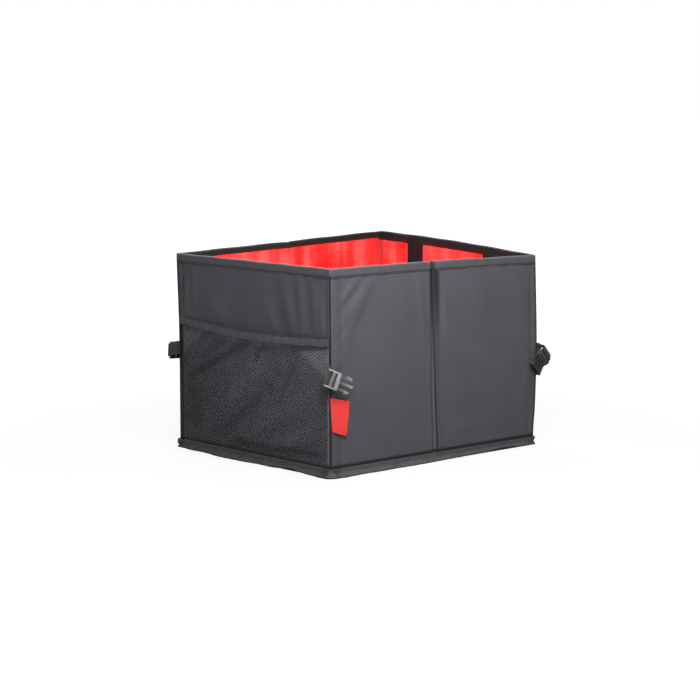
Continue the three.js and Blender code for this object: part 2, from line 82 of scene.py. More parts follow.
# %% [markdown]
# A shader is a formula, so it is written as one here. `Wire` holds one socket of a node. Sums on it
# add Math nodes, and its `node` method adds any other node: first the settings, then the sockets.

# %% A socket that can be used in sums
class Wire:
    """One socket of a shader. Python's own operators on it add Math nodes."""

    def __init__(self, tree, socket=None):
        self.tree = tree
        self.socket = socket

    def node(self, kind, settings=None, inputs=None, output=0):
        made = self.tree.nodes.new("ShaderNode" + kind)
        for name, value in (settings or {}).items():
            setattr(made, name, value)
        for name, value in (inputs or {}).items():
            if isinstance(value, Wire):
                self.tree.links.new(value.socket, made.inputs[name])
            else:
                made.inputs[name].default_value = value
        return Wire(self.tree, made.outputs[output])

    def maths(self, operation, *values):
        return self.node("Math", {"operation": operation}, dict(enumerate(values)))

    def __add__(self, other):
        return self.maths("ADD", self, other)

    def __radd__(self, other):
        return self.maths("ADD", other, self)

    def __sub__(self, other):
        return self.maths("SUBTRACT", self, other)

    def __rsub__(self, other):
        return self.maths("SUBTRACT", other, self)

    def __mul__(self, other):
        return self.maths("MULTIPLY", self, other)

    def __rmul__(self, other):
        return self.maths("MULTIPLY", other, self)

    def wave(self, pitch, shift=0.0):
        """A wave from 0 to 1 that repeats after each pitch, in metres."""
        return self.maths("SINE", self * (2 * math.pi / pitch) + shift) * 0.5 + 0.5

    def between(self, low, high):
        """0 below low, 1 above high, and a smooth step from one to the other."""
        return self.node("MapRange", {"interpolation_type": "SMOOTHSTEP"},
                         {"Value": self, "From Min": low, "From Max": high})

    def mix(self, first, second):
        """A colour from first to second, as this socket goes from 0 to 1."""
        blend = self.tree.nodes.new("ShaderNodeMix")
        blend.data_type = "RGBA"
        self.tree.links.new(self.socket, blend.inputs["Factor"])
        for socket, colour in ((blend.inputs["A"], first), (blend.inputs["B"], second)):
            picked = [s for s in blend.inputs if s.name == socket.name and s.type == "RGBA"][0]
            if isinstance(colour, Wire):
                self.tree.links.new(colour.socket, picked)
            else:
                picked.default_value = (*colour, 1)
        return Wire(self.tree, [s for s in blend.outputs if s.type == "RGBA"][0])

# %% [markdown]
# Sizes of the box come from the frame. `face` is the outer side of the walls' cloth, and depths are
# measured inwards from it.

# %% Sizes from the frame
face_x = -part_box("net_end_wall_cloth")[0].x
face_y = -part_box("front_wall_cloth")[0].y
wall_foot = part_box("front_wall_cloth")[0].z
wall_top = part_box("front_wall_cloth")[1].z
rim_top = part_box("rim_binding")[1].z
tape_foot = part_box("rim_binding")[0].z
foot_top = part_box("foot_binding")[1].z
lining_inner = face_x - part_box("plain_end_wall_lining")[0].x
cloth_thick = 0.8 * mm
lining_thick = 0.6 * mm
fold_lean = 6 * mm
fold_depth = 4.2 * mm
print("walls:", round(2 * face_x, 4), "by", round(2 * face_y, 4), "m, rim at", round(rim_top, 3), "m")


# %% [markdown]
# Every finish here has the same outline: where am I on the cloth, what colour is the thread there,
# and how high does it stand. `finish` builds that outline round a short recipe. What varies goes to
# the colour, the roughness and the normal. What is the same all over is set on the shader itself.

# %% The outline of a finish
def finish(name, recipe, **fixed):
    material = bpy.data.materials.new(name)
    material.use_nodes = True
    tree = material.node_tree
    shader = tree.nodes["Principled BSDF"]
    start = Wire(tree)
    parts = recipe(start)
    height = parts.pop("height", None)
    depth = parts.pop("depth", 0.1 * mm)
    if height is not None:
        parts["Normal"] = start.node("Bump", None, {"Height": height, "Distance": depth})
    for socket, value in parts.items():
        if isinstance(value, Wire):
            tree.links.new(value.socket, shader.inputs[socket])
        else:
            shader.inputs[socket].default_value = value
    for socket, value in fixed.items():
        shader.inputs[socket.replace("_", " ")].default_value = value
    return material


def cloth_place(start):
    """Where a point lies on the flat cloth, in metres: along the weft, and up the warp."""
    flat = start.node("UVMap", {"uv_map": "UVMap"})
    split = start.node("SeparateXYZ", None, {0: flat})
    return flat, split, Wire(start.tree, split.socket.node.outputs[1])


def place_on_box(start):
    """The point's x and y in the box's own frame."""
    place = start.node("TexCoord", None, None, output=3)
    split = start.node("SeparateXYZ", None, {0: place})
    return split, Wire(start.tree, split.socket.node.outputs[1])


def cloudy(start, place, size, detail=2.0):
    """Soft noise from 0 to 1, with blotches of about the given size in metres."""
    return start.node("TexNoise", None, {"Vector": place, "Scale": 1 / size, "Detail": detail})


# %% [markdown]
# The outer cloth is a plain-woven polyester with a matt coating inside. Its threads are far finer
# than a pixel from this distance, so the colour is nearly even, a warm charcoal. Close up, the
# threads go over and under each other, and a few are thicker than the rest.

# %% Charcoal cloth
thread_pitch = 0.55 * mm
charcoal_light = (0.092, 0.086, 0.098)
charcoal_dark = (0.064, 0.059, 0.068)


def charcoal_weave(start, light=charcoal_light, dark=charcoal_dark, shade=None):
    flat, weft, warp = cloth_place(start)
    over = weft.wave(thread_pitch) * warp.wave(thread_pitch)
    under = (1 - weft.wave(thread_pitch)) * (1 - warp.wave(thread_pitch))
    weave = over + under
    slubs = start.node("Mapping", None, {"Vector": flat, "Scale": (40, 900, 1)})
    streaks = start.node("TexNoise", None, {"Vector": slubs, "Scale": 1, "Detail": 2})
    blotches = cloudy(start, flat, 60 * mm)
    specks = cloudy(start, flat, 2.6 * mm, 3.0)
    tone = weave * 0.25 + streaks * 0.2 + blotches * 0.3 + specks * 0.25
    colour = tone.between(0.22, 0.78).mix(dark, light)
    if shade is not None:
        colour = colour.node("VectorMath", {"operation": "SCALE"}, {0: colour, "Scale": shade})
    return {
        "Base Color": colour,
        "Roughness": 0.54 - blotches * 0.18,
        "height": weave + streaks * 0.5,
        "depth": 0.07 * mm,
    }


def bump_at(value, middle, width):
    """1 where the value is at the middle, falling to 0 at the width on either side."""
    away = value - middle
    return 1 - away.maths("ABSOLUTE", away).between(0, width)


def slanting_band(weft, warp, start, end, width):
    """1 along the middle of a slanting band, fading out at its sides and ends; places in metres."""
    (a0, z0), (a1, z1) = start, end
    run = math.hypot(a1 - a0, z1 - z0)
    ahead = (weft - a0) * ((a1 - a0) / run) + (warp - z0) * ((z1 - z0) / run)
    aside = (weft - a0) * ((z1 - z0) / run) - (warp - z0) * ((a1 - a0) / run)
    ends = ahead.between(-15 * mm, 10 * mm) * (1 - ahead.between(run - 10 * mm, run + 15 * mm))
    return bump_at(aside, 0.0, width) * ends


foot_line = 14.2 * mm


def painted_shade_above_foot_tape(warp):
    """Painted shade just above the foot tape, where the wall goes down into the seam."""
    return 1 - bump_at(warp, foot_line - wall_foot + 0.6 * mm, 4.4 * mm) * 0.9


def folded_wall_cloth(start):
    """Painted shade along the long walls' fold and by their corner seams, a painted highlight on the fold's
    rolled edge, and painted shade towards the bottom.
    """
    flat, weft, warp = cloth_place(start)
    high = warp.between(0.10, 0.27)
    along = weft - face_x - 2.0 * mm - (1 - high) * 2.4 * mm
    # Painted shade: the dark fold line, the soft band and the high band beside it, the dark edge and the
    # valley by the corner seam. The light strip is a painted highlight.
    line = 1 - bump_at(along, 0.6 * mm, 2.1 * mm) * 0.93
    band = 1 - bump_at(along, 3.5 * mm, 11 * mm) * (0.20 + high * 0.46)
    painted_highlight_strip = 1 + bump_at(along, -4.5 * mm, 4 * mm) * 0.16
    edge = 1 - bump_at(along, -8.6 * mm, 1.8 * mm) * 0.13
    valley = 1 - bump_at(weft, 16 * mm, 7 * mm) * 0.20
    upper_fold_painted_shade = 1 - bump_at(along, 5.5 * mm, 10 * mm) * warp.between(0.17, 0.27) * 0.78
    # Painted shade: the cloth grows darker towards the bottom.
    lower_wall_painted_shade = 0.86 + warp.between(0.06, 0.20) * 0.14
    folds = line * band * painted_highlight_strip * edge * valley * upper_fold_painted_shade
    return charcoal_weave(start, shade=folds * lower_wall_painted_shade * painted_shade_above_foot_tape(warp))


def net_wall_cloth(start):
    """Painted light: behind the net the cloth is drawn lighter, with painted shade where the net hangs in
    dense folds.
    """
    flat, weft, warp = cloth_place(start)
    above = warp.between(behind_net_top - 3 * mm, behind_net_top)
    reach = weft - face_y
    inside = 1 - reach.maths("ABSOLUTE", reach).between(face_y - 9 * mm, face_y - 5 * mm)
    painted_light_behind_net = 1 + (1 - above) * (inside * net_wall_painted_light_factor - 1)
    for first, last, width, dark in net_fold_painted_shade:
        spot = slanting_band(weft - face_y, warp + wall_foot, first, last, width) * dark
        painted_light_behind_net = painted_light_behind_net * (1 - spot * (1 - above))
    return charcoal_weave(start, shade=painted_light_behind_net * painted_shade_above_foot_tape(warp))


# The cloth behind the net is painted lighter by the factor below, as painted light that makes up for the
# net's shadow.
behind_net_top = 0.19
net_wall_painted_light_factor = 3.1
# Slanting bands of painted shade where the net hangs in dense folds: start and end (along and up, m), width
# and darkness.
net_fold_painted_shade = [
    ((-0.150, 0.112), (-0.012, 0.180), 13 * mm, 0.62), ((-0.146, 0.040), (-0.138, 0.100), 34 * mm, 0.50),
    ((0.000, 0.150), (0.030, 0.186), 9 * mm, 0.40), ((0.060, 0.100), (0.104, 0.180), 7 * mm, 0.28),
    ((-0.04, 0.026), (0.150, 0.030), 10 * mm, 0.62), ((-0.09, 0.03), (0.02, 0.10), 14 * mm, 0.22),
    ((-0.100, 0.160), (-0.060, 0.186), 8 * mm, 0.30),
]
charcoal = finish("charcoal_woven_polyester", charcoal_weave, Specular_IOR_Level=0.45)
# The long walls' finish carries painted shade and a painted highlight at the fold.
charcoal_fold_painted_shade = finish("charcoal_polyester_fold_painted_shade", folded_wall_cloth, Specular_IOR_Level=0.45)
charcoal_net_wall_painted_light = finish("charcoal_polyester_painted_light_behind_net", net_wall_cloth, Specular_IOR_Level=0.45)

# %% [markdown]
# The lining is the same weave in red, with its coating on the side that shows. The coating fills
# the weave, so the surface is smoother and has a soft shine where it curves away. Pale pink streaks
# are painted into its colour as painted sheen, and painted shade darkens its four inner corners.

# %% Red coated lining
lining_deep = (0.93, 0.010, 0.010)
# The second tone is the pale pink of painted sheen.
lining_painted_sheen = (1.00, 0.105, 0.095)


def inner_corner_painted_shade(start):
    """Painted shade mask: 1 in the seams of the box's four inner corners, 0 away from them."""
    x, y = place_on_box(start)
    from_x = x.maths("ABSOLUTE", x).between(face_x - 22 * mm, face_x - 9 * mm)
    from_y = y.maths("ABSOLUTE", y).between(face_y - 17 * mm, face_y - 9 * mm)
    return from_x * from_y


def coated_lining(start):
    flat, weft, warp = cloth_place(start)
    weave = weft.wave(thread_pitch) * warp.wave(thread_pitch)
    blotches = cloudy(start, flat, 45 * mm, 3.0)
    hanging = start.node("Mapping", None, {"Vector": flat, "Scale": (34, 3, 1)})
    painted_sheen_streaks = start.node("TexNoise", None, {"Vector": hanging, "Scale": 1, "Detail": 2.5})
    # The pale pink is painted sheen, in streaks, with blotches of random tone.
    colour = (painted_sheen_streaks * 0.65 + blotches * 0.35).between(0.40, 0.66).mix(lining_deep, lining_painted_sheen)
    return {
        # The inner corners are darkened as painted shade.
        "Base Color": (inner_corner_painted_shade(start) * 0.75).mix(colour, (0.42, 0.004, 0.006)),
        "Roughness": 0.24 + blotches * 0.20,
        "height": weave * 0.4 + cloudy(start, flat, 6 * mm) * 0.8,
        "depth": 0.12 * mm,
    }


def folded_lining(start):
    """The long walls' lining is painted dark down its middle seam and along a fold beside it, as painted
    shade.
    """
    parts = coated_lining(start)
    flat, weft, warp = cloth_place(start)
    middle = face_x - lining_inner + 0.2 * mm
    seam = bump_at(weft, middle, 1.5 * mm)
    fold = bump_at(weft, middle + 27 * mm, 3.0 * mm) * 0.35
    parts["Base Color"] = (seam + fold - seam * fold).mix(parts["Base Color"], (0.22, 0.006, 0.006))
    return parts


lining_gloss = {"Specular_IOR_Level": 0.6, "Sheen_Weight": 0.15}
red_lining = finish("red_coated_lining", coated_lining, **lining_gloss)
red_lining_seam_painted_shade = finish("red_coated_lining_seam_painted_shade", folded_lining, **lining_gloss)

# %% [markdown]
# Binding tape is a narrow ribbed ribbon folded over a raw edge and sewn through. Ribs run across
# it. Here the side towards the inside of the box is black and the outside is grey. Each row of
# sewing pulls the tape in, and the groove's shade is painted on as a dark line, so the recipe asks
# how far across a point lies.

# %% Binding tapes
rib_pitch = 1.1 * mm
tape_grey = (0.076, 0.073, 0.080)
tape_grey_dark = (0.055, 0.053, 0.059)
# The black tones have a cool tint, painted to offset the red light that the lining throws on them.
tape_black = (0.009, 0.0105, 0.0108)
# Painted shade in the grooves of the rows of sewing.
stitch_groove_painted_shade = (0.012, 0.012, 0.013)
seam_in = 2.4 * mm
seam_wide = 0.55 * mm


def rim_fold_painted_shade(start):
    """Painted shade: the rim tape is darkened where the long walls' fold line crosses it."""
    x, _ = place_on_box(start)
    return 1 - bump_at(x, 2.5 * mm, 7 * mm) * 0.92


def foot_corner_painted_shade(start):
    """The foot tape is crumpled at the near corner, and painted shade darkens it there."""
    x, y = place_on_box(start)
    return 1 - bump_at(x, -face_x, 26 * mm) * bump_at(y, -face_y, 30 * mm) * 0.75


def ribbed_tape(light, dark, seams=(), shade=None):
    def recipe(start):
        flat, run, across = cloth_place(start)
        ribs = run.wave(rib_pitch)
        threads = across.wave(0.4 * mm)
        worn = cloudy(start, flat, 14 * mm, 3.0)
        tone = ribs * 0.2 + threads * 0.1 + worn * 0.7
        colour = tone.between(0.2, 0.8).mix(dark, light)
        for seam in seams:
            off = (across - seam).maths("ABSOLUTE", across - seam)
            colour = off.between(seam_wide * 0.6, seam_wide * 1.5).mix(stitch_groove_painted_shade, colour)
        if shade is not None:
            colour = colour.node("VectorMath", {"operation": "SCALE"}, {0: colour, "Scale": shade(start)})
        return {
            "Base Color": colour,
            "Roughness": 0.66 - worn * 0.14,
            "height": ribs + threads * 0.3,
            "depth": 0.07 * mm,
        }
    return recipe


rim_seams, pocket_seams = (seam_in,), (1.6 * mm, 10.4 * mm)
grey_tape = finish("grey_ribbed_tape", ribbed_tape(tape_grey, tape_grey_dark, rim_seams, rim_fold_painted_shade),
                   Sheen_Weight=0.06)
pocket_tape_finish = finish("pocket_ribbed_tape", ribbed_tape(tape_grey, tape_grey_dark, pocket_seams),
                            Sheen_Weight=0.06)
# A cool tint, painted to offset the red light bounced from the lining.
black_tape = finish("black_ribbed_tape", ribbed_tape((0.014, 0.016, 0.0165), tape_black),
                    Specular_IOR_Level=0.25)
foot_tape = finish("dark_foot_tape", ribbed_tape((0.052, 0.050, 0.054), (0.022, 0.021, 0.023),
                                                 shade=foot_corner_painted_shade), Sheen_Weight=0.06)

# %% [markdown]
# Webbing is thick and woven in a herringbone: slanting ribs that turn back at the middle of each
# stripe. A saw-tooth of the place across the band shifts a wave along the band, and that makes the
# slant.

# %% Webbing, netting, thread and tag
herringbone = 3.4 * mm


def herringbone_webbing(start, light=(0.019, 0.019, 0.020), dark=(0.006, 0.006, 0.0065)):
    flat, run, across = cloth_place(start)
    tooth = start.node("Math", {"operation": "PINGPONG"}, {0: across, 1: herringbone / 2})
    slant = (run + tooth).wave(1.5 * mm)
    stripe = across.wave(herringbone)
    fluff = cloudy(start, flat, 5 * mm, 3.0)
    tone = slant * 0.45 + stripe * 0.2 + fluff * 0.35
    return {
        "Base Color": tone.between(0.2, 0.8).mix(dark, light),
        "Roughness": 0.7 - slant * 0.12,
        "height": slant + stripe * 0.3,
        "depth": 0.2 * mm,
    }


def handle_webbing_painted_shade(start):
    """The handles' webbing is painted darker, with a cold tint, as painted shade that offsets the red light
    thrown on it by the lining.
    """
    return herringbone_webbing(start, (0.0085, 0.014, 0.014), (0.003, 0.006, 0.006))


def net_thread(start):
    place = start.node("TexCoord", None, None, output=3)
    twist = cloudy(start, place, 0.8 * mm, 1.0)
    worn = cloudy(start, place, 30 * mm)
    tone = twist * 0.6 + worn * 0.4
    return {
        "Base Color": tone.between(0.25, 0.75).mix((0.010, 0.009, 0.012), (0.022, 0.020, 0.026)),
        "Roughness": 0.56 - twist * 0.12,
        "height": twist,
        "depth": 0.05 * mm,
    }


def sewing_thread(light, dark):
    def recipe(start):
        place = start.node("TexCoord", None, None, output=3)
        twist = cloudy(start, place, 0.5 * mm, 1.0)
        return {"Base Color": twist.between(0.3, 0.7).mix(dark, light), "Roughness": 0.5 + twist * 0.15}
    return recipe


def red_tag_cloth(start):
    flat, weft, warp = cloth_place(start)
    weave = weft.wave(0.7 * mm) * warp.wave(0.7 * mm)
    worn = cloudy(start, flat, 12 * mm, 3.0)
    return {
        "Base Color": (weave * 0.3 + worn * 0.7).between(0.2, 0.8).mix((0.66, 0.031, 0.027),
                                                                       (0.77, 0.052, 0.042)),
        "Roughness": 0.52 - worn * 0.1,
        "height": weave + worn,
        "depth": 0.07 * mm,
    }


webbing = finish("black_herringbone_webbing", herringbone_webbing, Sheen_Weight=0.15)
handle_webbing_finish_painted_shade = finish("black_handle_webbing_painted_shade", handle_webbing_painted_shade, Specular_IOR_Level=0.25)
netting = finish("black_net_thread", net_thread, Sheen_Weight=0.1)
dark_thread = finish("dark_sewing_thread", sewing_thread((0.050, 0.051, 0.052), (0.022, 0.022, 0.023)))
red_tag = finish("red_tag_cloth", red_tag_cloth, Specular_IOR_Level=0.5)

# %% [markdown]
# The buckles are moulded in black nylon. The mould was spark-eroded, which leaves a fine even
# grain, and handling polishes it smoother in patches. Their edges are painted a lighter grey, as a
# painted highlight. The stiffeners are grey board with flecks of fibre. They hardly show, but each
# piece that stays gets a finish.

# %% Buckle plastic and board
def moulded_nylon(start, face=(0.008, 0.008, 0.0085), rim=(0.05, 0.05, 0.053)):
    place = start.node("TexCoord", None, None, output=3)
    grain = cloudy(start, place, 0.35 * mm, 2.0)
    handled = cloudy(start, place, 9 * mm, 2.0)
    # Edges are painted lighter: a painted highlight.
    edge = start.node("NewGeometry", None, None, output=7).between(0.50, 0.58)
    return {
        "Base Color": edge.mix(face, rim),
        "Roughness": 0.27 + grain * 0.10 - handled * 0.08,
        "height": grain,
        "depth": 0.03 * mm,
    }


def grey_board(start):
    place = start.node("TexCoord", None, None, output=3)
    fibre = cloudy(start, place, 1.2 * mm, 4.0)
    return {
        "Base Color": fibre.between(0.35, 0.65).mix((0.20, 0.18, 0.15), (0.32, 0.29, 0.25)),
        "Roughness": 0.8 + fibre * 0.1,
        "height": fibre,
        "depth": 0.1 * mm,
    }


def near_buckle_painted_highlight(start):
    """The near buckle is painted a much lighter grey, its edges most, as a painted highlight."""
    return moulded_nylon(start, face=(0.085, 0.085, 0.088), rim=(0.30, 0.30, 0.31))


def grip_teeth_painted_highlight(start):
    """The grip teeth are painted a lighter grey, as a painted highlight."""
    return moulded_nylon(start, face=(0.11, 0.11, 0.115), rim=(0.24, 0.24, 0.25))


nylon = finish("black_moulded_nylon", moulded_nylon, Specular_IOR_Level=0.55)
nylon_near_buckle_painted_highlight = finish("moulded_nylon_near_buckle_painted_highlight", near_buckle_painted_highlight, Specular_IOR_Level=0.6)
nylon_grip_teeth_painted_highlight = finish("moulded_nylon_grip_teeth_painted_highlight", grip_teeth_painted_highlight, Specular_IOR_Level=0.55)
board = finish("grey_stiffener_board", grey_board)
print("finishes:", len(bpy.data.materials))

# %% [markdown]
# Each wall has its own directions: along it, and out from it. A long wall also leans in at its
# middle, where it folds.

# %% The four walls
class Wall:
    """One wall: along runs from left to right as seen from outside, out is square to the wall."""

    def __init__(self, name, half, folded, middle, along, out):
        self.name = name
        self.half = half
        self.folded = folded
        self.middle = np.array((*middle, 0.0))
        self.along = np.array((*along, 0.0))
        self.out = np.array((*out, 0.0))

    def place(self, along, out, z):
        along, out, z = np.broadcast_arrays(along, out, z)
        flat = self.middle + along[..., None] * self.along + out[..., None] * self.out
        flat[..., 2] = z
        return flat

    def lean(self, along, z):
        if not self.folded:
            return 0.0 * along * z
        return fold_lean * (z / rim_top) * (1 - np.abs(along) / self.half)


walls = {
    "front": Wall("front", face_x, True, (0, -face_y), (1, 0), (0, -1)),
    "plain_end": Wall("plain_end", face_y, False, (face_x, 0), (0, 1), (1, 0)),
    "back": Wall("back", face_x, True, (0, face_y), (-1, 0), (0, 1)),
    "net_end": Wall("net_end", face_y, False, (-face_x, 0), (0, -1), (-1, 0)),
}

# %% [markdown]
# No box of cloth stays square. This one's rim has twisted a little: its near and far corners stand
# high and its right corner has dropped. Each long wall has begun to fold in at its middle, gently on
# one side and sharply on the other. `settle` carries every soft piece along with that.

# %% How the box has settled
corner_rise = {(-1, -1): 3.2, (-1, 1): -1.7, (1, -1): -7.0, (1, 1): 4.4}
fold_in = 5.0 * mm
gentle_side = 26 * mm
sharp_side = 7 * mm
end_bow = 2.4 * mm
back_bow = 1.2 * mm
bulge_reach = 130 * mm
corner_bulges = [
    ((1, -1), (3.6, -2.4), 0.15, 0.12), ((-1, 1), (-2.6, 2.0), 0.31, 0.09),
]


def smooth_step(x, low, high):
    share = np.clip((x - low) / (high - low), 0, 1)
    return share * share * (3 - 2 * share)


def settle(points):
    points = np.array(points, dtype=float)
    x, y, z = points[..., 0], points[..., 1], points[..., 2]
    high = np.clip(z / rim_top, 0, 1) ** 1.3
    rise = np.zeros_like(x)
    for (sx, sy), amount in corner_rise.items():
        share = np.clip((1 + sx * x / face_x) / 2, 0, 1) * np.clip((1 + sy * y / face_y) / 2, 0, 1)
        rise += amount * mm * share ** 1.5
    wall_side = np.sign(y)
    right_of_fold = -x * wall_side
    inward = np.where(right_of_fold > 0, np.exp(-np.abs(right_of_fold) / gentle_side),
                      np.exp(-np.abs(right_of_fold) / sharp_side))
    long_wall = smooth_step(np.abs(y), face_y - 45 * mm, face_y - 22 * mm)
    share = smooth_step(z, 0.005, 0.09) * (0.55 + 0.45 * high)
    points[..., 1] = y - wall_side * fold_in * inward * long_wall * share
    points[..., 2] = z + rise * high
    for along, half, out, face, more in ((y, face_y, x, face_x, end_bow), (x, face_x, y, face_y, back_bow)):
        middle = np.cos(math.pi * np.clip(along / half, -1, 1) / 2)
        bowed = middle * smooth_step(out, face - 60 * mm, face - 15 * mm)
        points[..., 2] += more * high * bowed
    for (sx, sy), (more_x, more_y), middle, tall in corner_bulges:
        near = smooth_step(sx * x, face_x - bulge_reach, face_x)
        near = near * smooth_step(sy * y, face_y - bulge_reach, face_y)
        near = near * np.exp(-(((z - middle) / tall) ** 2)) * smooth_step(z, 0.008, 0.06)
        points[..., 0] += more_x * mm * near
        points[..., 1] += more_y * mm * near
    return points


# %% [markdown]
# The helper for all soft pieces adds a flat grid and carries each of its crossings to its place.
# The `place` function that it is given takes the flat cloth's coordinates, in metres, as arrays.
# Solidify then gives the cloth its thickness, and its normals are worked out again.

# %% From a flat cut to a piece
def merge_seam(piece, distance=0.01 * mm):
    bpy.ops.object.mode_set(mode="EDIT")
    bpy.ops.mesh.select_all(action="SELECT")
    bpy.ops.mesh.remove_doubles(threshold=distance)
    bpy.ops.mesh.normals_make_consistent(inside=False)
    bpy.ops.object.mode_set(mode="OBJECT")


def flat_cut(name, size, steps, place, seam=False, thick=None, side=-1, settled=True):
    bpy.ops.object.select_all(action="DESELECT")
    bpy.ops.mesh.primitive_grid_add(x_subdivisions=steps[0], y_subdivisions=steps[1], size=1)
    piece = bpy.context.object
    piece.name = name
    piece.data.name = name
    corners = np.zeros(len(piece.data.vertices) * 3)
    piece.data.vertices.foreach_get("co", corners)
    corners = corners.reshape(-1, 3)
    u = (corners[:, 0] + 0.5) * size[0]
    v = (corners[:, 1] + 0.5) * size[1]
    spots = settle(place(u, v)) if settled else place(u, v)
    piece.data.vertices.foreach_set("co", spots.ravel())
    uv = piece.data.uv_layers[0].data
    flat = np.zeros(len(uv) * 2)
    uv.foreach_get("uv", flat)
    uv.foreach_set("uv", (flat.reshape(-1, 2) * np.array(size)).ravel())
    piece.data.update()
    if seam:
        merge_seam(piece)
    if thick:
        thicken(piece, thick, side)
    bpy.ops.object.shade_smooth()
    return piece


def thicken(piece, thick, side):
    bpy.context.view_layer.objects.active = piece
    solid = piece.modifiers.new("thickness", "SOLIDIFY")
    solid.thickness = thick
    solid.offset = side
    bpy.ops.object.modifier_apply(modifier=solid.name)


def dress(piece, material, body="box", replaces=()):
    piece.data.materials.clear()
    for each in material if isinstance(material, (list, tuple)) else [material]:
        piece.data.materials.append(each)
    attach(piece, body)
    if replaces:
        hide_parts(*replaces)
    triangles = sum(len(p.vertices) - 2 for p in piece.data.polygons)
    print(f"  {piece.name}: {triangles} triangles")
    return piece


# %% [markdown]
# Sewn cloth over a board is never quite flat. It pulls from the corners in soft diagonal creases,
# and it waves slowly between its seams. A crease is a soft ridge along a line, highest at its
# middle. The slow waves come from smooth noise, which is the same each time.

# %% Creases and slow waves
def crease(along, z, start, end, width, high):
    (a0, z0), (a1, z1) = start, end
    run = math.hypot(a1 - a0, z1 - z0)
    ahead = ((along - a0) * (a1 - a0) + (z - z0) * (z1 - z0)) / run
    aside = ((along - a0) * (z1 - z0) - (z - z0) * (a1 - a0)) / run
    share = np.clip(ahead / run, 0, 1)
    fade = np.sin(math.pi * share) ** 0.8
    return high * fade * np.exp(-((aside / width) ** 2))


def slow_waves(along, z, size, seed, stretch=1.0):
    return np.array([noise.noise(Vector((a / size, h / (size * stretch), seed))) for a, h in zip(along, z)])


# %% [markdown]
# First the outer cloth. Each long wall folds at its middle when the box is packed away, so its
# cloth dips into the gap between the two boards. At each corner the cloth rolls in to the seam, and
# the seam's turned edges lie under it as a narrow ridge.

# %% Outer cloth: shape
seam_ridge = 6.5 * mm
# A crease is written as its start and its end (along the wall and up, mm), its width and its height.
creases = {
    "front": [
        ((-198, 206), (-120, 286), 9, 2.4), ((-200, 178), (-132, 262), 7, 1.7),
        ((-196, 243), (-150, 289), 6, 1.8), ((-201, 150), (-160, 216), 8, 1.2),
        ((-120, 60), (-60, 20), 12, 0.9), ((-34, 292), (-16, 170), 7, 1.3),
        ((-80, 288), (-40, 200), 14, 1.0), ((14, 285), (28, 180), 8, 1.3),
        ((150, 288), (196, 220), 9, 1.6), ((60, 290), (120, 210), 14, 1.1),
        ((30, 30), (120, 60), 14, 0.9), ((180, 60), (198, 160), 8, 1.0), ((-150, 20), (-190, 90), 9, 1.0),
    ],
    "net_end": [
        ((66, 292), (92, 196), 13, 2.3), ((104, 292), (116, 196), 10, 2.0),
        ((134, 288), (146, 200), 10, 2.0), ((152, 262), (160, 196), 6, 1.1),
        ((-150, 270), (-158, 205), 7, 1.8), ((30, 250), (52, 196), 10, 1.2),
        ((-132, 284), (-140, 214), 7, 1.4), ((-110, 240), (-60, 200), 12, 0.9),
    ],
    "back": [
        ((-198, 220), (-140, 284), 8, 1.5), ((198, 230), (150, 286), 8, 1.5),
        ((14, 280), (26, 190), 7, 1.1), ((-16, 280), (-28, 180), 7, 1.1), ((-150, 40), (-90, 80), 12, 0.9),
    ],
    "plain_end": [
        ((-165, 210), (-110, 282), 8, 1.6), ((162, 220), (120, 284), 8, 1.5), ((-60, 60), (20, 30), 14, 0.9),
        ((40, 280), (60, 190), 9, 1.2), ((-30, 284), (-44, 200), 8, 1.1),
    ],
}


def cloth_out(wall, along, z):
    """How far a wall's cloth stands off the flat face, in metres: below 0 is inwards."""
    reach = np.abs(along)
    end = wall.half
    out = -wall.lean(along, z)
    if wall.folded:
        width = (5.5 + (2.5 + 2.5 * smooth_step(z, 0.17, 0.29)) * smooth_step(along, -0.001, 0.005)) * mm
        dip = 0.5 * (1 + np.cos(math.pi * np.clip(reach / width, 0, 1)))
        out -= fold_depth * dip ** 1.2
        out += 0.7 * mm * np.exp(-(((along + 9 * mm) / (3.5 * mm)) ** 2))
    roll = np.clip((reach - (end - 3 * mm)) / (3 * mm), 0, 1)
    out -= 1.6 * mm * roll ** 2
    valley = (end - reach - seam_ridge - 5 * mm) / (4.5 * mm)
    out -= 1.1 * mm * np.exp(-(valley ** 2)) * (0.6 + 0.4 * np.sin(z * 2 * math.pi / 0.21 + along * 9))
    free = smooth_step(end - reach, 4 * mm, 24 * mm) * smooth_step(z, 0.01, 0.04)
    for start, stop, width, high in creases[wall.name]:
        start = (start[0] * mm, start[1] * mm)
        stop = (stop[0] * mm, stop[1] * mm)
        out += crease(along, z, start, stop, width * mm, high * mm)
    seed = 3.0 + list(walls).index(wall.name)
    out += 1.0 * mm * free * slow_waves(along, z, 80 * mm, seed, 1.3)
    out += 0.22 * mm * slow_waves(along, z, 21 * mm, seed + 10, 1.8)
    return out


# %% [markdown]
# The four cloths are cut and carried to their walls. An end wall's cloth stops a little short of
# the corner, so that the long wall's cloth can roll over it.

# %% Outer cloth: the four walls
grid_step = 3 * mm
for name, wall in walls.items():
    end = wall.half if wall.folded else wall.half - 2.6 * mm
    size = (2 * end, wall_top - wall_foot)
    steps = (round(size[0] / (2.5 * mm)), round(size[1] / grid_step))

    def place(u, v, wall=wall, end=end):
        along, z = u - end, v + wall_foot
        return wall.place(along, cloth_out(wall, along, z), z)

    piece = flat_cut(f"{name}_outer_cloth", size, steps, place, thick=cloth_thick)
    finish_here = charcoal_fold_painted_shade if wall.folded else charcoal_net_wall_painted_light if name == "net_end" else charcoal
    dress(piece, finish_here, replaces=[f"{name}_wall_cloth"])

# %% [markdown]
# The lining hangs a little looser than the outer cloth, in soft upright folds. On the long walls a
# seam runs down the middle, where the two boards part, and its dark line is painted shade.

# %% Lining of the walls
lining_slack = 1.1 * mm


